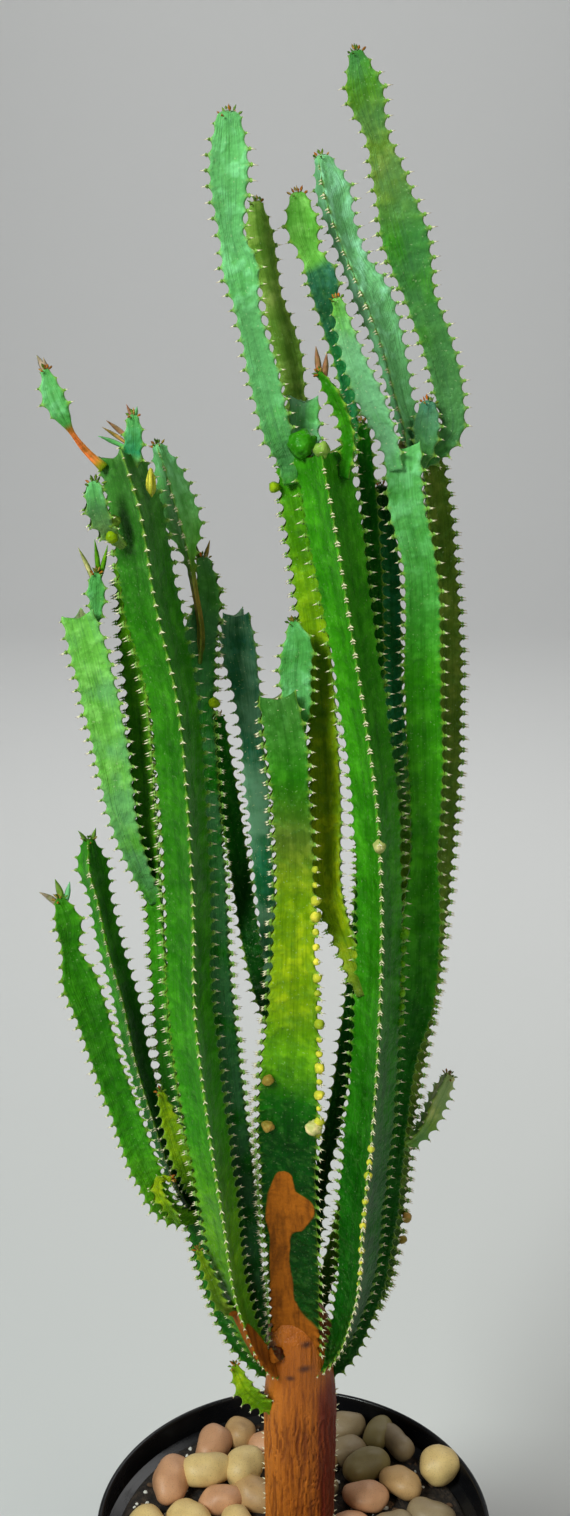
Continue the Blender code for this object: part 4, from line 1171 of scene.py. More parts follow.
COLUMNS = (
    Column(
        node="centre_column", slot="yellow_green",
        stems=(
            Stem(
                route=(
                    (3, -2, 326, 25), (3, -6, 344, 27), (2, -14, 388, 29), (-1, -24, 450, 30),
                    (-1, -32, 513, 32), (1, -36, 560, 26), (1, -36, 590, 22), (1, -34, 641, 20),
                    (-1, -32, 671, 20), (-3, -30, 696, 22), (-7, -28, 717, 19),
                ),
                shades=(
                    (0.0, Shade.DEEP_PAINTED_SHADE), (0.38, Shade.DEEP_PAINTED_SHADE), (0.46, Shade.LEAF), (0.53, Shade.LIME),
                    (0.60, Shade.YELLOW), (0.74, Shade.YELLOW), (0.82, Shade.OLIVE), (0.90, Shade.HERB),
                    (1.0, Shade.JADE),
                ),
                bearing=195, top=Top.CUT,
            ),
            Stem(
                route=(
                    (1, -28, 700, 10), (1, -26, 713, 14), (0, -27, 731, 16), (1, -28, 746, 13),
                    (-1, -28, 754, 6),
                ),
                shades=MINTY, bearing=90,
            ),
            Stem(
                route=(
                    (-1, -30, 536, 9), (-8, -14, 560, 11), (-14, 10, 597, 11), (-19, 22, 654, 12),
                    (-24, 22, 709, 15), (-28, 22, 735, 19), (-29, 22, 748, 15),
                ),
                shades=WAXY, bearing=75, top=Top.CUT, wax=1.0,
            ),
            Stem(
                route=(
                    (-3, -26, 528, 9), (-13, -4, 542, 12), (-24, 28, 568, 11), (-30, 46, 600, 11),
                    (-36, 52, 639, 11), (-41, 52, 686, 7),
                ),
                shades=DARK, bearing=100,
            ),
            Stem(
                route=(
                    (10, -20, 402, 9), (14, -8, 440, 9), (21, 2, 468, 9), (32, 20, 535, 10),
                    (39, 26, 619, 11), (42, 26, 702, 10), (41, 24, 756, 9), (37, 22, 807, 9),
                    (33, 18, 844, 8),
                ),
                shades=DARK, bearing=90,
            ),
        ),
        buds=(
            Bud((10, -44, 492), 4.2, Shade.CREAM), Bud((-14, -38, 516), 3.2, Shade.TAN),
            Bud((-14, -35, 488), 3.2, Shade.TAN),
        ),
        beads=(Beads(0, 1, 0.42, 0.80, 2.6, Shade.BUTTER),),
        bark=(
            BarkStrip((
                (-6, 455, 5), (-7, 442, 8), (-7, 428, 8), (-8, 414, 5.5), (-8, 398, 5.5), (-7, 384, 6.5),
                (-7, 370, 7.5), (-5, 356, 12), (0, 342, 18), (3, 328, 24),
            )),
            BarkStrip(((-4, 441, 7), (3, 437, 8), (0, 426, 6))),
            BarkStrip(((2, 350, 9), (14, 348, 5))),
        ),
    ),
    Column(
        node="front_right_column", slot="bright_green",
        stems=(
            Stem(
                route=(
                    (9, -5, 315, 8), (17, -11, 325, 9), (32, -26, 377, 19), (36, -38, 446, 24),
                    (40, -44, 508, 25), (42, -46, 565, 23), (42, -46, 619, 23), (39, -44, 670, 23),
                    (32, -40, 719, 23), (24, -36, 767, 24), (16, -32, 814, 26), (12, -30, 834, 26),
                ),
                shades=DARK_TO_BRIGHT, bearing=270, top=Top.CUT,
            ),
            # Painted light: lemon and yellow shades lighten this stem where the centre column shades it.
            Stem(
                route=(
                    (36, -42, 566, 10), (28, -34, 588, 11), (20, -26, 611, 15), (18, -16, 661, 17),
                    (15, -12, 712, 16), (11, -12, 752, 16), (4, -12, 792, 14), (-2, -14, 826, 12),
                ),
                shades=((0.0, Shade.OLIVE), (0.15, Shade.LEMON), (0.6, Shade.YELLOW), (1.0, Shade.GRASS)),
                bearing=180, top=Top.CUT,
            ),
            Stem(
                route=(
                    (-2, -17, 820, 9), (-4, -20, 832, 11), (-8, -24, 843, 14), (-15, -26, 871, 14),
                    (-23, -26, 904, 13), (-25, -26, 917, 18), (-29, -26, 932, 12), (-30, -26, 947, 15),
                    (-30, -26, 964, 18), (-30, -26, 982, 12),
                ),
                shades=MINTY, bearing=90, wax=0.25,
            ),
            # Painted light: a pale sage that lightens this shoot where the shoot in front of it shades it.
            Stem(
                route=(
                    (0, -13, 818, 8), (2, -8, 835, 10), (1, -4, 858, 10), (-3, 0, 881, 14),
                    (-10, 2, 905, 10), (-16, 2, 933, 14), (-18, 2, 947, 7),
                ),
                shades=((0.0, Shade.SAGE), (1.0, Shade.SAGE)), bearing=70,
            ),
            Stem(
                route=(
                    (22, -25, 822, 8), (26, -14, 842, 8), (24, -6, 868, 8), (16, -4, 893, 8),
                    (11, -4, 917, 14), (7, -4, 924, 10), (3, -4, 937, 15), (1, -4, 950, 9),
                ),
                shades=(
                    (0.0, Shade.LEAF), (0.45, Shade.BLUISH), (0.58, Shade.GLAUCOUS), (0.75, Shade.GLAUCOUS),
                    (0.78, Shade.FRESH), (1.0, Shade.FRESH),
                ),
                bearing=90,
            ),
            Stem(
                route=(
                    (23, -32, 824, 7), (25, -34, 842, 7), (23, -34, 851, 7), (18, -36, 862, 7),
                    (11, -36, 872, 4),
                ),
                shades=BRIGHT, bearing=60,
            ),
            Stem(
                route=((4, -14, 826, 14), (4, -13, 845, 15), (4, -12, 858, 15)),
                shades=((0.0, Shade.GRASS), (1.0, Shade.MINT)), bearing=90, top=Top.CUT, wax=1.0,
            ),
        ),
        buds=(
            Bud((3, -28, 839), 6.5, Shade.GRASS), Bud((12, -42, 838), 3.8, Shade.SAGE),
            Bud((40, -59, 651), 3.2, Shade.CREAM), Bud((-10, -16, 818), 3.0, Shade.YELLOW),
        ),
        leaves=(
            Leaf((11, -36, 870), (9, -37, 884), 3, Shade.PINK),
            Leaf((13, -36, 868), (14, -39, 881), 3, Shade.PINK),
        ),
        beads=(Beads(0, 0, 0.18, 0.36, 2.0, Shade.BUTTER), Beads(0, 1, 0.46, 0.56, 2.6, Shade.LIME)),
    ),
    Column(
        node="right_column", slot="bright_green",
        stems=(
            Stem(
                route=(
                    (13, -1, 308, 8), (22, 0, 314, 9), (38, -1, 355, 16), (47, -2, 409, 19),
                    (52, -7, 466, 17), (58, -11, 514, 14), (64, -12, 549, 18), (65, -12, 589, 21),
                    (66, -12, 633, 15), (66, -12, 660, 17), (63, -12, 722, 19), (60, -12, 782, 17),
                    (53, -12, 811, 18), (51, -12, 836, 18),
                ),
                shades=((0.0, Shade.DEEP_PAINTED_SHADE), (0.4, Shade.LEAF), (0.6, Shade.GRASS), (0.8, Shade.GRASS), (1.0, Shade.MINT)),
                bearing=90, top=Top.CUT,
            ),
            Stem(
                route=(
                    (48, -15, 826, 9), (45, -16, 838, 9), (37, -18, 856, 13), (27, -20, 879, 10),
                    (19, -22, 904, 6),
                ),
                shades=((0.0, Shade.MINT), (0.6, Shade.MINT), (1.0, Shade.FRESH)), bearing=80, wax=0.7,
            ),
            Stem(
                route=(
                    (54, -7, 826, 9), (55, 0, 839, 10), (50, 6, 860, 12), (44, 8, 883, 15),
                    (37, 8, 902, 18), (26, 8, 924, 13), (20, 8, 940, 14), (16, 8, 954, 17), (12, 8, 967, 9),
                ),
                shades=((0.0, Shade.MINT), (0.4, Shade.PALE), (1.0, Shade.PALE)), bearing=250, wax=0.2,
            ),
            Stem(
                route=(
                    (54, -9, 828, 10), (67, 2, 833, 11), (76, 6, 843, 12), (75, 10, 857, 14),
                    (69, 12, 881, 15), (60, 12, 904, 15), (52, 12, 931, 22), (44, 12, 958, 16),
                    (37, 12, 980, 11), (32, 12, 996, 18), (28, 12, 1013, 8),
                ),
                shades=((0.0, Shade.LEAF), (0.25, Shade.JADE), (0.6, Shade.HERB), (0.75, Shade.MOSS), (1.0, Shade.HERB)),
                wax=0.15, bearing=90,
            ),
            Stem(
                route=((58, -8, 826, 9), (62, -4, 836, 11), (63, 0, 845, 13), (64, 2, 855, 9)),
                shades=((0.0, Shade.JADE), (1.0, Shade.GLAUCOUS)), bearing=90, wax=0.3,
            ),
        ),
    ),
    Column(
        node="back_right_column", slot="olive_green",
        stems=(
            Stem(
                route=(
                    (14, 11, 306, 8), (25, 18, 314, 9), (43, 24, 345, 15), (55, 28, 408, 16),
                    (60, 29, 464, 16), (66, 28, 509, 16), (72, 25, 558, 16), (75, 24, 605, 16),
                    (76, 22, 651, 18), (76, 22, 705, 19), (74, 24, 757, 17), (70, 26, 808, 14),
                    (67, 26, 830, 12),
                ),
                shades=((0.0, Shade.DEEP_PAINTED_SHADE), (0.4, Shade.OLIVE), (1.0, Shade.OLIVE)), bearing=0, top=Top.CUT,
            ),
            Stem(
                route=(
                    (57, 27, 438, 7), (63, 23, 445, 7), (68, 22, 449, 8), (74, 22, 457, 10),
                    (80, 22, 473, 11), (86, 22, 487, 8),
                ),
                shades=((0.0, Shade.LIME), (0.5, Shade.SAGE), (1.0, Shade.CREAM)), bearing=120, wax=0.3,
            ),
        ),
        buds=(Bud((65, 26, 396), 3.0, Shade.TAN), Bud((63, 28, 380), 2.6, Shade.TAN)),
    ),
    Column(
        node="middle_right_stem", slot="deep_green",
        stems=(
            Stem(
                route=(
                    (7, 11, 320, 8), (14, 24, 338, 9), (30, 44, 390, 10), (41, 50, 440, 10),
                    (52, 50, 500, 11), (59, 46, 562, 11), (58, 44, 644, 11), (52, 42, 711, 11),
                    (49, 38, 775, 10), (44, 36, 811, 8),
                ),
                shades=((0.0, Shade.DEEP_PAINTED_SHADE), (0.55, Shade.YELLOW), (0.75, Shade.BLUISH), (1.0, Shade.DEEP_PAINTED_SHADE)),
                bearing=90,
            ),
        ),
    ),
    Column(
        node="left_column", slot="yellow_green",
        stems=(
            Stem(
                route=(
                    (-8, -10, 318, 9), (-18, -20, 336, 11), (-31, -30, 378, 15), (-40, -42, 449, 20),
                    (-47, -48, 510, 23), (-52, -50, 567, 23), (-52, -50, 620, 23), (-54, -48, 671, 23),
                    (-58, -44, 720, 24), (-68, -40, 768, 27), (-75, -38, 814, 25), (-81, -36, 834, 21),
                ),
                shades=(
                    (0.0, Shade.LEAF), (0.2, Shade.LIME), (0.35, Shade.GRASS), (0.6, Shade.HERB),
                    (0.85, Shade.HERB), (1.0, Shade.JADE),
                ),
                bearing=160, top=Top.CUT,
            ),
            Stem(
                route=(
                    (-89, -36, 829, 6), (-98, -36, 838, 4.5), (-104, -38, 847, 4.5), (-107, -38, 853, 9),
                    (-111, -38, 862, 11), (-114, -38, 873, 5),
                ),
                shades=(
                    (0.0, Shade.YELLOW), (0.12, Shade.SALMON), (0.46, Shade.SALMON), (0.50, Shade.MINT), (1.0, Shade.MINT),
                ),
                bearing=90, bare=0.5,
            ),
            Stem(
                route=((-78, -34, 826, 8), (-76, -34, 834, 9), (-75, -34, 845, 9), (-75, -34, 852, 6)),
                shades=((0.0, Shade.YELLOW), (0.4, Shade.BLUISH), (1.0, Shade.MINT)), bearing=90,
            ),
            Stem(
                route=((-80, -44, 794, 6), (-86, -48, 802, 9), (-90, -52, 812, 11), (-92, -52, 823, 8)),
                shades=((0.0, Shade.LEMON), (0.35, Shade.MOSS), (0.7, Shade.JADE), (1.0, Shade.MINT)),
                bearing=200, wax=0.2,
            ),
            Stem(
                route=((-67, -38, 817, 4), (-67, -42, 820, 6), (-67, -42, 825, 5.5), (-67, -41, 829, 3)),
                shades=((0.0, Shade.BUTTER), (1.0, Shade.BUTTER)), bearing=270, bare=1.0,
            ),
            Stem(
                route=((-32, -32, 374, 7), (-38, -36, 380, 7), (-45, -38, 400, 6), (-51, -40, 417, 4)),
                shades=((0.0, Shade.OLIVE), (1.0, Shade.YELLOW)), bearing=90,
            ),
        ),
        buds=(
            Bud((-85, -50, 799), 3.0, Shade.LEMON), Bud((-84, -50, 806), 3.2, Shade.MOSS),
            Bud((-10, -17, 336), 4.6, Shade.MAROON),
        ),
        bark=(BarkStrip(((-33, 374, 2.5), (-26, 357, 4), (-19, 340, 5), (-12, 328, 8))),),
        leaves=(
            Leaf((-78, -36, 838), (-91, -40, 844), 2.4, Shade.MINT),
            Leaf((-77, -36, 842), (-87, -40, 851), 2.4, Shade.PINK),
            Leaf((-78, -36, 840), (-89, -40, 848), 2.0, Shade.TAN),
            Leaf((-75, -34, 850), (-78, -36, 858), 2.0, Shade.PINK),
            Leaf((-75, -34, 850), (-73, -36, 857), 2.0, Shade.MINT),
            Leaf((-114, -38, 872), (-118, -38, 880), 3.2, Shade.BEIGE),
            Leaf((-114, -38, 872), (-115, -38, 879), 2.4, Shade.BEIGE),
        ),
    ),
    Column(
        node="outer_left_column", slot="bright_green",
        stems=(
            # Painted light: these shades are lighter to make up for the shade that the columns beside it cast.
            Stem(
                route=(
                    (-9, 2, 306, 9), (-22, 2, 318, 10), (-40, -2, 362, 15), (-50, -6, 404, 14),
                    (-58, -8, 450, 13), (-65, -10, 497, 11), (-69, -10, 548, 10), (-72, -10, 610, 10),
                    (-75, -10, 659, 12), (-77, -10, 711, 13), (-80, -12, 752, 12), (-83, -14, 780, 9),
                ),
                shades=((0.0, Shade.LEAF), (0.3, Shade.LEAF), (0.6, Shade.GRASS), (1.0, Shade.LIME)),
                bearing=180,
            ),
            Stem(
                route=(
                    (-72, -10, 604, 8), (-80, -16, 628, 11), (-86, -20, 652, 14), (-90, -22, 684, 17),
                    (-95, -24, 715, 18), (-101, -26, 745, 18), (-104, -26, 757, 16),
                ),
                shades=((0.0, Shade.GRASS), (0.4, Shade.FRESH), (1.0, Shade.FRESH)),
                bearing=90, top=Top.CUT, wax=0.35,
            ),
            Stem(
                route=((-99, -25, 750, 7), (-96, -23, 761, 7), (-96, -22, 770, 9), (-96, -22, 777, 5)),
                shades=MINTY, bearing=90,
            ),
            Stem(
                route=(
                    (-55, -10, 418, 8), (-67, -22, 430, 12), (-79, -30, 460, 15), (-89, -36, 498, 15),
                    (-97, -38, 526, 15), (-104, -40, 556, 17), (-110, -40, 576, 17), (-113, -40, 589, 10),
                    (-114, -40, 606, 13), (-117, -40, 616, 7),
                ),
                shades=((0.0, Shade.LIME), (0.35, Shade.GRASS), (0.6, Shade.HERB), (1.0, Shade.HERB)), bearing=105,
            ),
            Stem(
                route=(
                    (-57, -8, 424, 8), (-66, -2, 441, 11), (-77, 5, 473, 12), (-86, 8, 507, 13),
                    (-92, 8, 543, 14), (-99, 8, 572, 13), (-104, 8, 602, 13), (-107, 8, 617, 16),
                    (-108, 8, 630, 8),
                ),
                shades=DARK_TO_BRIGHT, bearing=270,
            ),
            Stem(
                route=(
                    (-55, -12, 436, 7), (-57, -22, 450, 8), (-60, -27, 463, 10), (-66, -30, 490, 9),
                    (-70, -32, 506, 5),
                ),
                shades=((0.0, Shade.LIME), (1.0, Shade.YELLOW)), bearing=100,
            ),
            Stem(
                route=((-62, -24, 424, 5), (-66, -30, 436, 6), (-72, -32, 448, 6), (-71, -33, 456, 5), (-66, -32, 455, 4)),
                shades=((0.0, Shade.LIME), (1.0, Shade.LEMON)), bearing=200,
            ),
        ),
        leaves=(
            Leaf((-97, -22, 772), (-104, -24, 790), 2.6, Shade.CREAM),
            Leaf((-95, -22, 774), (-96, -24, 794), 2.6, Shade.LIME),
            Leaf((-95, -22, 773), (-90, -22, 791), 2.6, Shade.LIME),
            Leaf((-117, -40, 612), (-127, -42, 621), 3.4, Shade.BEIGE),
            Leaf((-116, -40, 613), (-119, -42, 628), 3.6, Shade.SAGE),
            Leaf((-115, -40, 613), (-112, -40, 626), 3.0, Shade.PALE),
            Leaf((-108, 8, 627), (-113, 6, 637), 2.6, Shade.SAGE),
            Leaf((-107, 8, 628), (-104, 8, 638), 2.6, Shade.SAGE),
        ),
    ),
    Column(
        node="back_left_column", slot="deep_green",
        stems=(
            Stem(
                route=(
                    (-6, 9, 316, 8), (-16, 15, 328, 9), (-25, 20, 372, 13), (-31, 22, 425, 16),
                    (-38, 23, 485, 17), (-43, 22, 546, 16), (-45, 20, 605, 15), (-48, 15, 662, 15),
                    (-50, 9, 707, 16), (-50, 5, 737, 19), (-44, 3, 764, 12), (-46, 2, 780, 8),
                ),
                shades=((0.0, Shade.DEEP_PAINTED_SHADE), (0.6, Shade.LEAF), (0.9, Shade.LEAF), (1.0, Shade.JADE)),
                bearing=345, wax=0.15,
            ),
            Stem(
                route=(
                    (-48, 4, 728, 6), (-47, -2, 745, 5), (-50, -6, 769, 5), (-52, -8, 784, 7),
                    (-54, -8, 796, 16), (-58, -8, 811, 17), (-62, -8, 825, 13), (-66, -8, 836, 7),
                ),
                shades=(
                    (0.0, Shade.OLIVE), (0.3, Shade.TAN), (0.45, Shade.MOSS), (0.55, Shade.FRESH), (1.0, Shade.PALE),
                ),
                bearing=270, bare=0.4,
            ),
        ),
        buds=(Bud((-41, 5, 706), 3.0, Shade.YELLOW),),
        leaves=(
            Leaf((-46, 2, 776), (-42, 1, 790), 2.4, Shade.TAN), Leaf((-47, 2, 776), (-49, 1, 788), 2.2, Shade.OLIVE),
        ),
    ),
    Column(
        node="basal_shoot", slot="yellow_green",
        stems=(
            Stem(
                route=((-8, -8, 292, 8), (-17, -13, 301, 9), (-27, -17, 314, 11), (-33, -16, 327, 6)),
                shades=((0.0, Shade.LIME), (1.0, Shade.YELLOW)), bearing=90,
            ),
        ),
    ),
)


@dataclass
class Trunk:
    """The woody trunk with its furrows and its swollen crown."""

    centre_x: float = 0.003
    profile: tuple = (
        (128, 17.0), (165, 19.5), (205, 20.0), (235, 20.3), (265, 20.8), (292, 21.0),
        (306, 20.0), (316, 19.0), (330, 19.5), (342, 18.5), (351, 15.0), (356, 9.0), (357, 0.0),
    )
    sides: int = 180
    rings: int = 230
    flute: float = 0.045
    flutes: int = 3
    flute_turn: float = 0.6
    furrow_depth: float = 0.0012
    furrow_waver: float = 0.10
    crown_foot: float = 0.300
    scars: tuple = ((13, 347, 4.5), (7, 342, 3.5), (6, 327, 4.0), (-2, 321, 3.0))
    thorn_rows: tuple = (183.0, 352.0)
    thorn_feet: tuple = (0.206, 0.304)
    thorn_pitch: float = 0.0105

    def build(self, bark: bpy.types.Material, horn: bpy.types.Material) -> bpy.types.Object:
        """Loft the trunk, sink its furrows and seat it.

        Args:
            bark: The trunk's material.
            horn: The spines' material.

        Returns:
            The finished piece.
        """
        heights = np.array([height for height, _ in self.profile]) * MM
        radii = np.array([radius for _, radius in self.profile]) * MM
        levels = np.concatenate([np.linspace(heights[0], heights[-3], self.rings), [0.3535, 0.356, 0.357]])
        bm = bmesh.new()
        layer = bm.verts.layers.float.new("furrow")
        scar = bm.verts.layers.float.new("scar")
        reach_layer = bm.verts.layers.float.new("reach")
        rows = []
        for level in levels:
            radius = float(np.interp(level, heights, radii))
            row = []
            for side in range(self.sides):
                angle = math.tau * side / self.sides
                depth = self.furrow(angle, level)
                reach = radius * (1 + self.flute * math.cos(self.flutes * angle + self.flute_turn))
                reach -= min(depth * self.furrow_depth, radius)
                vert = bm.verts.new((self.centre_x + reach * math.cos(angle), reach * math.sin(angle), level))
                vert[layer] = depth
                vert[scar] = self.scarred(vert)
                row.append(vert)
            rows.append(row)
        for lower, upper in zip(rows, rows[1:]):
            for i in range(self.sides):
                j = (i + 1) % self.sides
                bm.faces.new((lower[i], lower[j], upper[j], upper[i]))
        bm.faces.new(rows[0][::-1])
        bmesh.ops.remove_doubles(bm, verts=rows[-1], dist=0.0001)
        self.add_thorns(bm, reach_layer, heights, radii)
        for face in bm.faces:
            face.smooth = True
        mesh = bpy.data.meshes.new("trunk_bark")
        bm.to_mesh(mesh)
        bm.free()
        mesh.materials.append(bark)
        mesh.materials.append(horn)
        piece = new_object("trunk_bark", mesh)
        publish(piece, "trunk")
        return piece

    def furrow(self, angle: float, level: float) -> float:
        """How deep the bark is sunk at a place, from 0 on the ridges to 1 in the furrows."""
        angle += self.furrow_waver * noise.noise(Vector((math.cos(angle) * 2.0, math.sin(angle) * 2.0, level * 60.0)))
        around = Vector((math.cos(angle) * 9.0, math.sin(angle) * 9.0, level * 17.0))
        coarse = noise.noise(around)
        fine = noise.noise(Vector((around.x * 2.3, around.y * 2.3, around.z * 1.9)))
        fade = min(1.0, max(0.2, (self.crown_foot - level) / 0.02 + 0.4))
        crease = 0.8 * max(0.0, 1.0 - 7.0 * abs(coarse)) + 0.6 * max(0.0, 1.0 - 5.0 * abs(fine))
        return min(1.0, crease) * fade

    def scarred(self, vert: bmesh.types.BMVert) -> float:
        """How far a point lies inside one of the dark scars on the front, from 0 to 1."""
        if vert.co.y > 0:
            return 0.0
        inside = [
            1.3 - math.hypot(vert.co.x - x * MM, 1.6 * (vert.co.z - z * MM)) / (radius * MM) for x, z, radius in self.scars
        ]
        return min(1.0, max(0.0, *inside))

    def add_thorns(self, bm: bmesh.types.BMesh, layer: bmesh.types.BMLayerItem, heights: np.ndarray, radii: np.ndarray) -> None:
        """Add the rows of small paired spines that are left from the trunk's young ribs.

        Args:
            bm: The trunk's mesh.
            layer: The layer that holds how far along its spine a point is.
            heights: The profile's heights.
            radii: The profile's radii.
        """
        for bearing in self.thorn_rows:
            angle = math.radians(bearing)
            flute = 1 + self.flute * math.cos(self.flutes * angle + self.flute_turn)
            for level in np.arange(*self.thorn_feet, self.thorn_pitch):
                radius = float(np.interp(level, heights, radii)) * flute - 0.0006
                for side in (-1, 1):
                    turned = angle + side * 0.07
                    out = Vector((math.cos(angle + side * 0.5), math.sin(angle + side * 0.5), 0.25)).normalized()
                    foot = Vector((self.centre_x + radius * math.cos(turned), radius * math.sin(turned), float(level)))
                    place = Matrix.Translation(foot + out * 0.001) @ out.to_track_quat("Z", "Y").to_matrix().to_4x4()
                    made = bmesh.ops.create_cone(
                        bm, cap_ends=True, segments=6, radius1=0.0008, radius2=0.0001, depth=0.0030, matrix=place
                    )
                    for vert in made["verts"]:
                        vert[layer] = 0.35 + 120.0 * max(0.0, (vert.co - foot).dot(out) - 0.0005)
                        for face in vert.link_faces:
                            face.material_index = 1


@dataclass(frozen=True)
class Stone:
    """A pebble: its place and half sizes in millimetres, its turn in degrees and its tint."""

    place: Point
    size: Point
    heading: float
    tint: Colour
    tilt: float = 0.0


CREAM_STONE: Colour = (0.68, 0.49, 0.20)
PINK_STONE: Colour = (0.56, 0.29, 0.15)
TAN_STONE: Colour = (0.48, 0.29, 0.12)
GREY_STONE: Colour = (0.27, 0.20, 0.11)
OLIVE_STONE: Colour = (0.24, 0.19, 0.07)


@dataclass
class PebbleBed:
    """The heap of smooth stones: those that show are listed one by one, the rest placed by a rule."""

    centre_x: float = 0.003
    spacing: float = 0.0125
    looseness: float = 0.002
    bed_radius: float = 0.095
    front_shift: float = -0.008
    clear_of_trunk: float = 0.031
    half_length: float = 0.0145
    level: float = 0.199
    seed: int = 36
    tints: tuple = (CREAM_STONE, PINK_STONE, TAN_STONE, GREY_STONE, OLIVE_STONE, CREAM_STONE)
    clear_of_placed: float = 0.016
    placed: tuple = (
        Stone((-51, 70, 205), (15, 11, 10), 75, PINK_STONE, 20),
        Stone((-34, 81, 204), (12, 10, 9), 100, TAN_STONE, 10),
        Stone((-74, 36, 206), (17, 12, 11), 80, PINK_STONE, 15),
        Stone((-53, 43, 209), (16, 11, 10), 5, CREAM_STONE, 5),
        Stone((-30, 46, 207), (14, 11, 10), 60, CREAM_STONE, 20),
        Stone((34, 90, 204), (12, 9, 9), 20, GREY_STONE, 10),
        Stone((55, 81, 206), (14, 7, 9), 80, OLIVE_STONE, 40),
        Stone((65, 72, 207), (16, 10, 9), 110, GREY_STONE, 30),
        Stone((91, 49, 207), (14, 12, 10), 10, CREAM_STONE, 10),
        Stone((45, 49, 207), (14, 10, 10), 30, OLIVE_STONE, 15),
        Stone((66, 36, 206), (14, 11, 9), 130, TAN_STONE, 10),
        Stone((44, 23, 206), (15, 11, 9), 170, PINK_STONE, 8),
    )

    def stones(self) -> list[Stone]:
        """Every stone of the bed."""
        rng = random.Random(self.seed)
        golden = math.pi * (3 - math.sqrt(5))
        bed = list(self.placed)
        for step in range(1, round((self.bed_radius / self.spacing) ** 2)):
            radius = self.spacing * math.sqrt(step)
            angle = step * golden
            x = self.centre_x + radius * math.cos(angle) + rng.uniform(-self.looseness, self.looseness)
            y = self.front_shift + radius * math.sin(angle) + rng.uniform(-self.looseness, self.looseness)
            size = self.half_length * rng.uniform(0.85, 1.1)
            stone = Stone(
                (x / MM, y / MM, (self.level + rng.uniform(0.0, 0.004)) / MM),
                (size / MM, size * rng.uniform(0.72, 0.9) / MM, size * rng.uniform(0.58, 0.7) / MM),
                rng.uniform(0, 180), rng.choice(self.tints), rng.uniform(-20, 20),
            )
            near = any(
                math.hypot(x - other.place[0] * MM, y - other.place[1] * MM) < self.clear_of_placed
                for other in self.placed
            )
            from_trunk = math.hypot(x - self.centre_x, y)
            if not near and from_trunk > self.clear_of_trunk and math.hypot(x, y) < self.bed_radius:
                bed.append(stone)
        return bed

    def tree(self) -> GrowthTree:
        """The Geometry Nodes tree: a stone on every point, each worn to its own form."""
        growth = GrowthTree("pebbles")
        sketch = growth.sketch
        material = growth.ask("Stone Material", "Material")
        wear = growth.ask("Wear", "Float", 0.0026)
        ball = sketch.add("GeometryNodeMeshIcoSphere", {"Radius": 1.0, "Subdivisions": 4}).outputs[0]
        turn = sketch.add("FunctionNodeEulerToRotation", {0: growth.named("turn", "FLOAT_VECTOR")}).outputs[0]
        heap = sketch.add(
            "GeometryNodeInstanceOnPoints",
            {
                "Points": growth.entry.outputs["Geometry"], "Instance": ball,
                "Rotation": turn, "Scale": growth.named("half", "FLOAT_VECTOR"),
            },
        ).outputs[0]
        real = sketch.add("GeometryNodeRealizeInstances", {"Geometry": heap}).outputs[0]
        place = sketch.add("GeometryNodeInputPosition").outputs[0]
        own = sketch.vector("ADD", place, sketch.scaled(growth.named("seed", "FLOAT_VECTOR"), 1.0))
        lump = sketch.math("SUBTRACT", sketch.grain(own, 45.0, 1.5, 0.4), 0.5)
        normal = sketch.add("GeometryNodeInputNormal").outputs[0]
        offset = sketch.scaled(normal, sketch.math("MULTIPLY", lump, sketch.math("MULTIPLY", wear, 4.0)))
        worn = sketch.add("GeometryNodeSetPosition", {"Geometry": real, "Offset": offset}).outputs[0]
        smooth = sketch.add("GeometryNodeSetShadeSmooth", {"Geometry": worn}).outputs[0]
        coated = sketch.add("GeometryNodeSetMaterial", {"Geometry": smooth, "Material": material}).outputs[0]
        sketch.feed(growth.leave.inputs["Geometry"], coated)
        return growth

    def build(self, stone: bpy.types.Material) -> bpy.types.Object:
        """Heap the stones and seat them.

        Args:
            stone: The stones' material.

        Returns:
            The finished piece.
        """
        bed = self.stones()
        mesh = bpy.data.meshes.new("pebble_places")
        mesh.from_pydata([tuple(value * MM for value in item.place) for item in bed], [], [])
        put_attribute(mesh, "half", "FLOAT_VECTOR", [tuple(value * MM for value in item.size) for item in bed])
        put_attribute(
            mesh, "turn", "FLOAT_VECTOR",
            [(math.radians(item.tilt), 0.0, math.radians(item.heading)) for item in bed],
        )
        put_attribute(mesh, "seed", "FLOAT_VECTOR", [(index * 1.7, index * 0.9, 0.0) for index in range(len(bed))])
        put_attribute(mesh, "tint", "FLOAT_COLOR", [item.tint for item in bed])
        piece = self.tree().grow(new_object("pebble_places", mesh), "pebble_bed", Stone_Material=stone)
        publish(piece, "pebbles")
        return piece


def turned_mesh(name: str, profile: Sequence[tuple[float, float]], sides: int) -> bpy.types.Mesh:
    """A closed body turned about Z.

    Args:
        name: The mesh's name.
        profile: (radius, height) points, the first and the last on the axis.
        sides: How many sides the body has.

    Returns:
        The mesh.
    """
    bm = bmesh.new()
    rows = []
    for radius, height in profile:
        count = sides if radius > 0 else 1
        rows.append([
            bm.verts.new((radius * math.cos(math.tau * k / sides), radius * math.sin(math.tau * k / sides), height))
            for k in range(count)
        ])
    for one, other in zip(rows, rows[1:]):
        for i in range(sides):
            j = (i + 1) % sides
            corners = [one[i % len(one)], one[j % len(one)], other[j % len(other)], other[i % len(other)]]
            bm.faces.new(list(dict.fromkeys(corners)))
    bmesh.ops.recalc_face_normals(bm, faces=bm.faces)
    for face in bm.faces:
        face.smooth = True
    mesh = bpy.data.meshes.new(name)
    bm.to_mesh(mesh)
    bm.free()
    return mesh


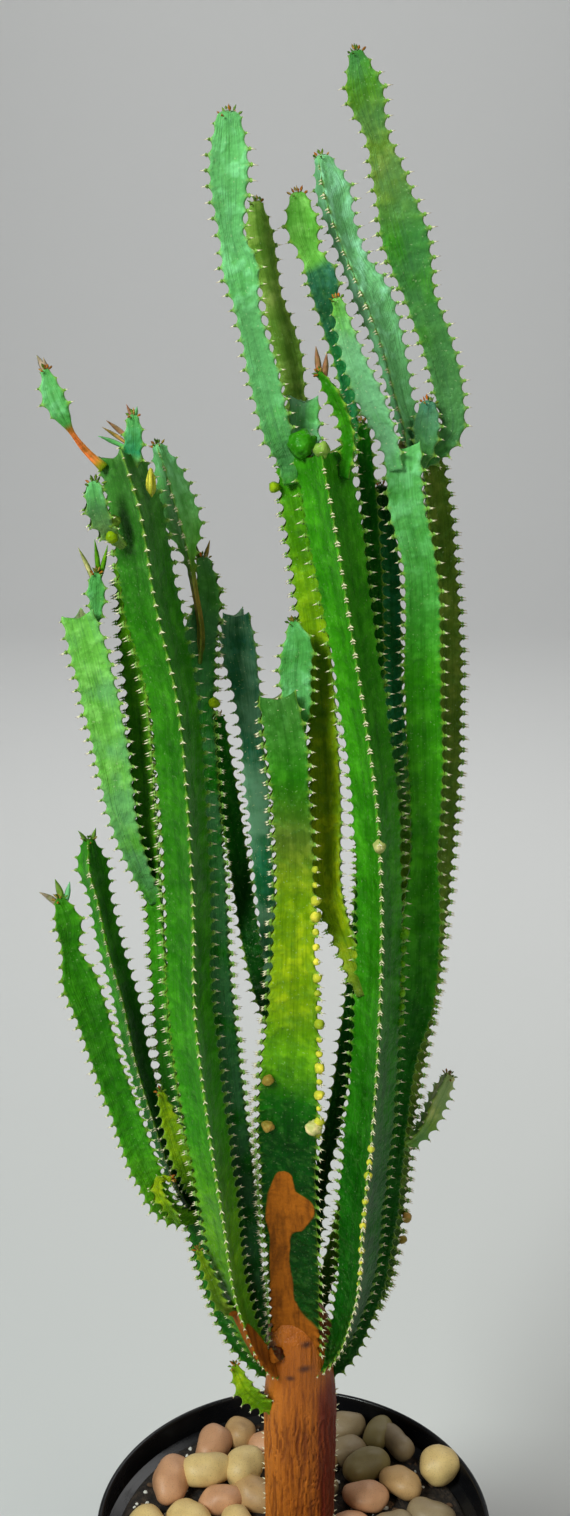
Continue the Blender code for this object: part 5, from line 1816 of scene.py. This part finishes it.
@dataclass
class Pot:
    """The glossy nursery pot with its rolled rim."""

    height: float = 0.212
    rim_radius: float = 0.116
    shoulder_radius: float = 0.109
    base_radius: float = 0.085
    wall: float = 0.003
    floor: float = 0.005
    rim_band: float = 0.020
    band_step: float = 0.003
    foot_height: float = 0.006
    foot_inset: float = 0.002
    sides: int = 160
    bead: float = 0.0015

    def wall_radius(self, height: float) -> float:
        """Outer radius of the tapered wall at a height."""
        share = height / (self.height - self.rim_band)
        return self.base_radius + (self.shoulder_radius - self.base_radius) * share

    def profile(self) -> list[tuple[float, float]]:
        """The outline from the middle of the floor, up the inside and down the outside."""
        band_foot = self.height - self.rim_band
        inner = self.rim_radius - self.wall
        middle = self.rim_radius - self.wall / 2
        points = [(0.0, self.floor), (self.wall_radius(self.floor) - self.wall, self.floor)]
        points += [(self.shoulder_radius - self.wall, band_foot), (inner, band_foot + self.band_step)]
        points += [(inner, self.height - 2 * self.bead)]
        for step in range(9):
            angle = math.pi * (1 - step / 8)
            points.append((middle + self.bead * math.cos(angle), self.height - self.bead + self.bead * math.sin(angle)))
        points += [(self.rim_radius, self.height - 2 * self.bead), (self.rim_radius, band_foot + 0.0012)]
        points += [(self.rim_radius - 0.0004, band_foot), (self.shoulder_radius + 0.001, band_foot - 0.0006)]
        points += [(self.shoulder_radius, band_foot - 0.0016)]
        for share in (0.8, 0.6, 0.4, 0.2):
            points.append((self.wall_radius(share * band_foot), share * band_foot))
        points += [(self.wall_radius(self.foot_height), self.foot_height)]
        points += [(self.base_radius - 0.0004, 0.0015), (self.base_radius - self.foot_inset, 0.0), (0.0, 0.0)]
        return points

    def build(self, plastic: bpy.types.Material) -> bpy.types.Object:
        """Turn the pot and seat it."""
        mesh = turned_mesh("pot_shell", self.profile(), self.sides)
        mesh.set_sharp_from_angle(angle=math.radians(50))
        mesh.materials.append(plastic)
        piece = new_object("pot_shell", mesh)
        publish(piece, "pot")
        return piece


@dataclass
class Soil:
    """The potting mix, with perlite and chips of bark on its surface."""

    pot: Pot
    top: float = 0.196
    dome: float = 0.003
    edge_drop: float = 0.002
    gap: float = 0.0003
    sides: int = 150
    rings: int = 46
    lump: float = 0.0022
    crumb_margin: float = 0.0045
    perlite_density: float = 8000.0
    chip_density: float = 9000.0

    def body(self) -> bpy.types.Object:
        """The closed body of soil, uneven on top."""
        floor = self.pot.floor + self.gap
        edge = self.top - self.edge_drop
        outer = self.pot.wall_radius(edge) - self.pot.wall - self.gap
        profile = [(0.0, self.top + self.dome)]
        for step in range(1, self.rings + 1):
            share = step / self.rings
            profile.append((outer * share, self.top + self.dome * (1 - share) - self.edge_drop * share**12))
        profile += [(self.pot.wall_radius(floor) - self.pot.wall - self.gap, floor), (0.0, floor)]
        mesh = turned_mesh("soil_bed", profile, self.sides)
        for vert in mesh.vertices:
            if vert.co.z > edge + 0.0005:
                lump = noise.fractal(vert.co * 120.0, 0.9, 2.1, 4)
                vert.co.z += self.lump * lump
        return new_object("soil_bed", mesh)

    def tree(self) -> GrowthTree:
        """The Geometry Nodes tree: crumbs scattered over the soil's top."""
        growth = GrowthTree("potting mix")
        sketch = growth.sketch
        soil = growth.ask("Soil Material", "Material")
        bed = growth.entry.outputs["Geometry"]
        ground = sketch.add("GeometryNodeSetMaterial", {"Geometry": bed, "Material": soil}).outputs[0]
        joined = sketch.add("GeometryNodeJoinGeometry")
        spot = sketch.add("ShaderNodeSeparateXYZ", {0: sketch.add("GeometryNodeInputPosition").outputs[0]})
        out = sketch.math("POWER", sketch.math("ADD", sketch.math("POWER", spot.outputs[0], 2.0),
                                               sketch.math("POWER", spot.outputs[1], 2.0)), 0.5)
        inside = sketch.math("LESS_THAN", out, self.pot.shoulder_radius - self.pot.wall - self.crumb_margin)
        high = sketch.math("GREATER_THAN", spot.outputs[2], self.top - self.edge_drop - self.lump)
        on_top = sketch.math("MULTIPLY", inside, high)
        for name, density, small, large, flat, seed in (
            ("Perlite", self.perlite_density, 0.0006, 0.0019, 0.8, 3),
            ("Chip", self.chip_density, 0.0010, 0.0034, 0.35, 5),
        ):
            material = growth.ask(f"{name} Material", "Material")
            thick = growth.ask(f"{name} Density", "Float", density)
            grains = sketch.add(
                "GeometryNodeDistributePointsOnFaces",
                {"Mesh": bed, "Selection": on_top, "Density": thick, "Seed": seed},
                distribute_method="RANDOM",
            )
            crumb = sketch.add("GeometryNodeMeshIcoSphere", {"Radius": 1.0, "Subdivisions": 2}).outputs[0]
            spin = sketch.add("FunctionNodeRandomValue", {0: (-0.6, -0.6, 0.0), 1: (0.6, 0.6, 6.28), "Seed": seed},
                              data_type="FLOAT_VECTOR").outputs[0]
            turn = sketch.add("FunctionNodeEulerToRotation", {0: spin}).outputs[0]
            size = sketch.add("FunctionNodeRandomValue", {2: small, 3: large, "Seed": seed + 1}).outputs[1]
            scale = sketch.scaled((1.0, 0.7, flat), size)
            strewn = sketch.add(
                "GeometryNodeInstanceOnPoints",
                {"Points": grains.outputs[0], "Instance": crumb, "Rotation": turn, "Scale": scale},
            ).outputs[0]
            real = sketch.add("GeometryNodeRealizeInstances", {"Geometry": strewn}).outputs[0]
            place = sketch.add("GeometryNodeInputPosition").outputs[0]
            rough = sketch.add("ShaderNodeTexNoise", {"Vector": place, "Scale": 900.0}).outputs[1]
            jag = sketch.scaled(sketch.vector("SUBTRACT", rough, (0.5, 0.5, 0.5)), 0.0012)
            real = sketch.add("GeometryNodeSetPosition", {"Geometry": real, "Offset": jag}).outputs[0]
            coated = sketch.add("GeometryNodeSetMaterial", {"Geometry": real, "Material": material}).outputs[0]
            sketch.tree.links.new(coated, joined.inputs[0])
        sketch.tree.links.new(ground, joined.inputs[0])
        sketch.feed(growth.leave.inputs["Geometry"], joined.outputs[0])
        return growth

    def build(self, soil: bpy.types.Material, perlite: bpy.types.Material, chip: bpy.types.Material) -> bpy.types.Object:
        """Fill the pot, strew the crumbs and seat the piece.

        Args:
            soil: The mix's material.
            perlite: The perlite's material.
            chip: The bark chips' material.

        Returns:
            The finished piece.
        """
        piece = self.tree().grow(
            self.body(), "soil_bed_strewn", Soil_Material=soil, Perlite_Material=perlite, Chip_Material=chip
        )
        publish(piece, "soil")
        return piece


@dataclass
class Studio:
    """A pale sweep of floor, soft lights and the camera at the photo's angle."""

    camera_place: Point = (-0.005, -0.799, 0.909)
    camera_pitch: float = math.radians(16.1)
    focal_pixels: float = 1625.4
    photo_height: int = 1516
    sensor: float = 36.0
    floor_half: float = 8.0
    floor_front: float = -6.0
    sweep_start: float = 3.6
    sweep_radius: float = 2.0
    wall_top: float = 6.0
    floor_colour: Colour = (0.72, 0.72, 0.71)

    def build(self) -> None:
        """Set the stage."""
        self.set_camera()
        self.set_backdrop()
        self.set_lights()

    def set_camera(self) -> None:
        """Place the camera where the photo was taken from."""
        data = bpy.data.cameras.new("photo_camera")
        data.lens = self.sensor * self.focal_pixels / self.photo_height
        data.sensor_width = self.sensor
        data.sensor_height = self.sensor
        data.clip_start = 0.01
        camera = bpy.data.objects.new("photo_camera", data)
        camera.location = self.camera_place
        camera.rotation_euler = (math.pi / 2 - self.camera_pitch, 0.0, 0.0)
        bpy.context.scene.collection.objects.link(camera)
        bpy.context.scene.camera = camera

    def set_backdrop(self) -> None:
        """A floor that sweeps up into a wall without a line."""
        profile = [(self.floor_front, 0.0), (self.sweep_start, 0.0)]
        for step in range(1, 25):
            angle = math.pi / 2 * step / 24
            profile.append((
                self.sweep_start + self.sweep_radius * math.sin(angle),
                self.sweep_radius * (1 - math.cos(angle)),
            ))
        profile.append((profile[-1][0], self.wall_top))
        verts = [(side * self.floor_half, y, z) for y, z in profile for side in (-1, 1)]
        faces = [(2 * k, 2 * k + 1, 2 * k + 3, 2 * k + 2) for k in range(len(profile) - 1)]
        mesh = bpy.data.meshes.new("studio_sweep")
        mesh.from_pydata(verts, [], faces)
        mesh.shade_smooth()
        sketch = SurfaceSketch("studio_paper")
        mesh.materials.append(sketch.finish(self.floor_colour, 0.9))
        new_object("studio_sweep", mesh)

    def set_lights(self) -> None:
        """A broad key from the front left, a fill from the right and a light from behind."""
        world = bpy.data.worlds.new("studio_air")
        world.use_nodes = True
        world.node_tree.nodes["Background"].inputs["Color"].default_value = (0.90, 0.95, 1.0, 1.0)
        world.node_tree.nodes["Background"].inputs["Strength"].default_value = 0.13
        bpy.context.scene.world = world
        for name, place, aim, size, power, colour in (
            ("key", (-1.05, -1.25, 1.85), (0.0, 0.0, 0.75), 0.7, 44.0, (0.92, 1.0, 0.96)),
            ("fill", (0.9, -1.2, 1.85), (0.0, 0.0, 0.90), 1.0, 8.0, (1.0, 0.97, 0.80)),
            ("back", (0.8, 1.4, 2.3), (0.0, 0.0, 0.6), 1.2, 12.0, (1.0, 1.0, 1.0)),
            ("wall", (0.0, 1.6, 3.2), (0.0, 5.6, 1.4), 2.5, 75.0, (1.0, 1.0, 1.0)),
        ):
            data = bpy.data.lights.new(name, "AREA")
            data.shape = "DISK"
            data.size = size
            data.energy = power
            data.color = colour
            light = bpy.data.objects.new(name, data)
            light.location = place
            light.rotation_euler = (Vector(aim) - Vector(place)).to_track_quat("-Z", "Y").to_euler()
            bpy.context.scene.collection.objects.link(light)
        bpy.context.scene.view_settings.view_transform = "Standard"


def main() -> None:
    """Build the stage and every piece of the potted plant in order."""
    logging.basicConfig(level=logging.INFO, format="%(name)s %(message)s")
    Studio().build()
    pot = Pot()
    pot.build(BlackPlastic().material())
    perlite = Crumb("perlite", (0.80, 0.78, 0.72), (0.55, 0.52, 0.46))
    chip = Crumb("bark_chip", (0.160, 0.080, 0.035), (0.030, 0.016, 0.008))
    Soil(pot).build(PottingSoil().material(), perlite.material(), chip.material())
    PebbleBed().build(PebbleStone().material())
    horn = SpineHorn().material()
    Trunk().build(Bark().material(), horn)
    ribbed = RibbedGrowth()
    section = ribbed.section.mesh_object()
    growth = ribbed.tree()
    skin = StemSkin().material()
    maker = SpineMaker()
    for column in COLUMNS:
        column.build(growth, section, skin, horn, maker)
    drop(section)


if __name__ == "__main__":
    main()
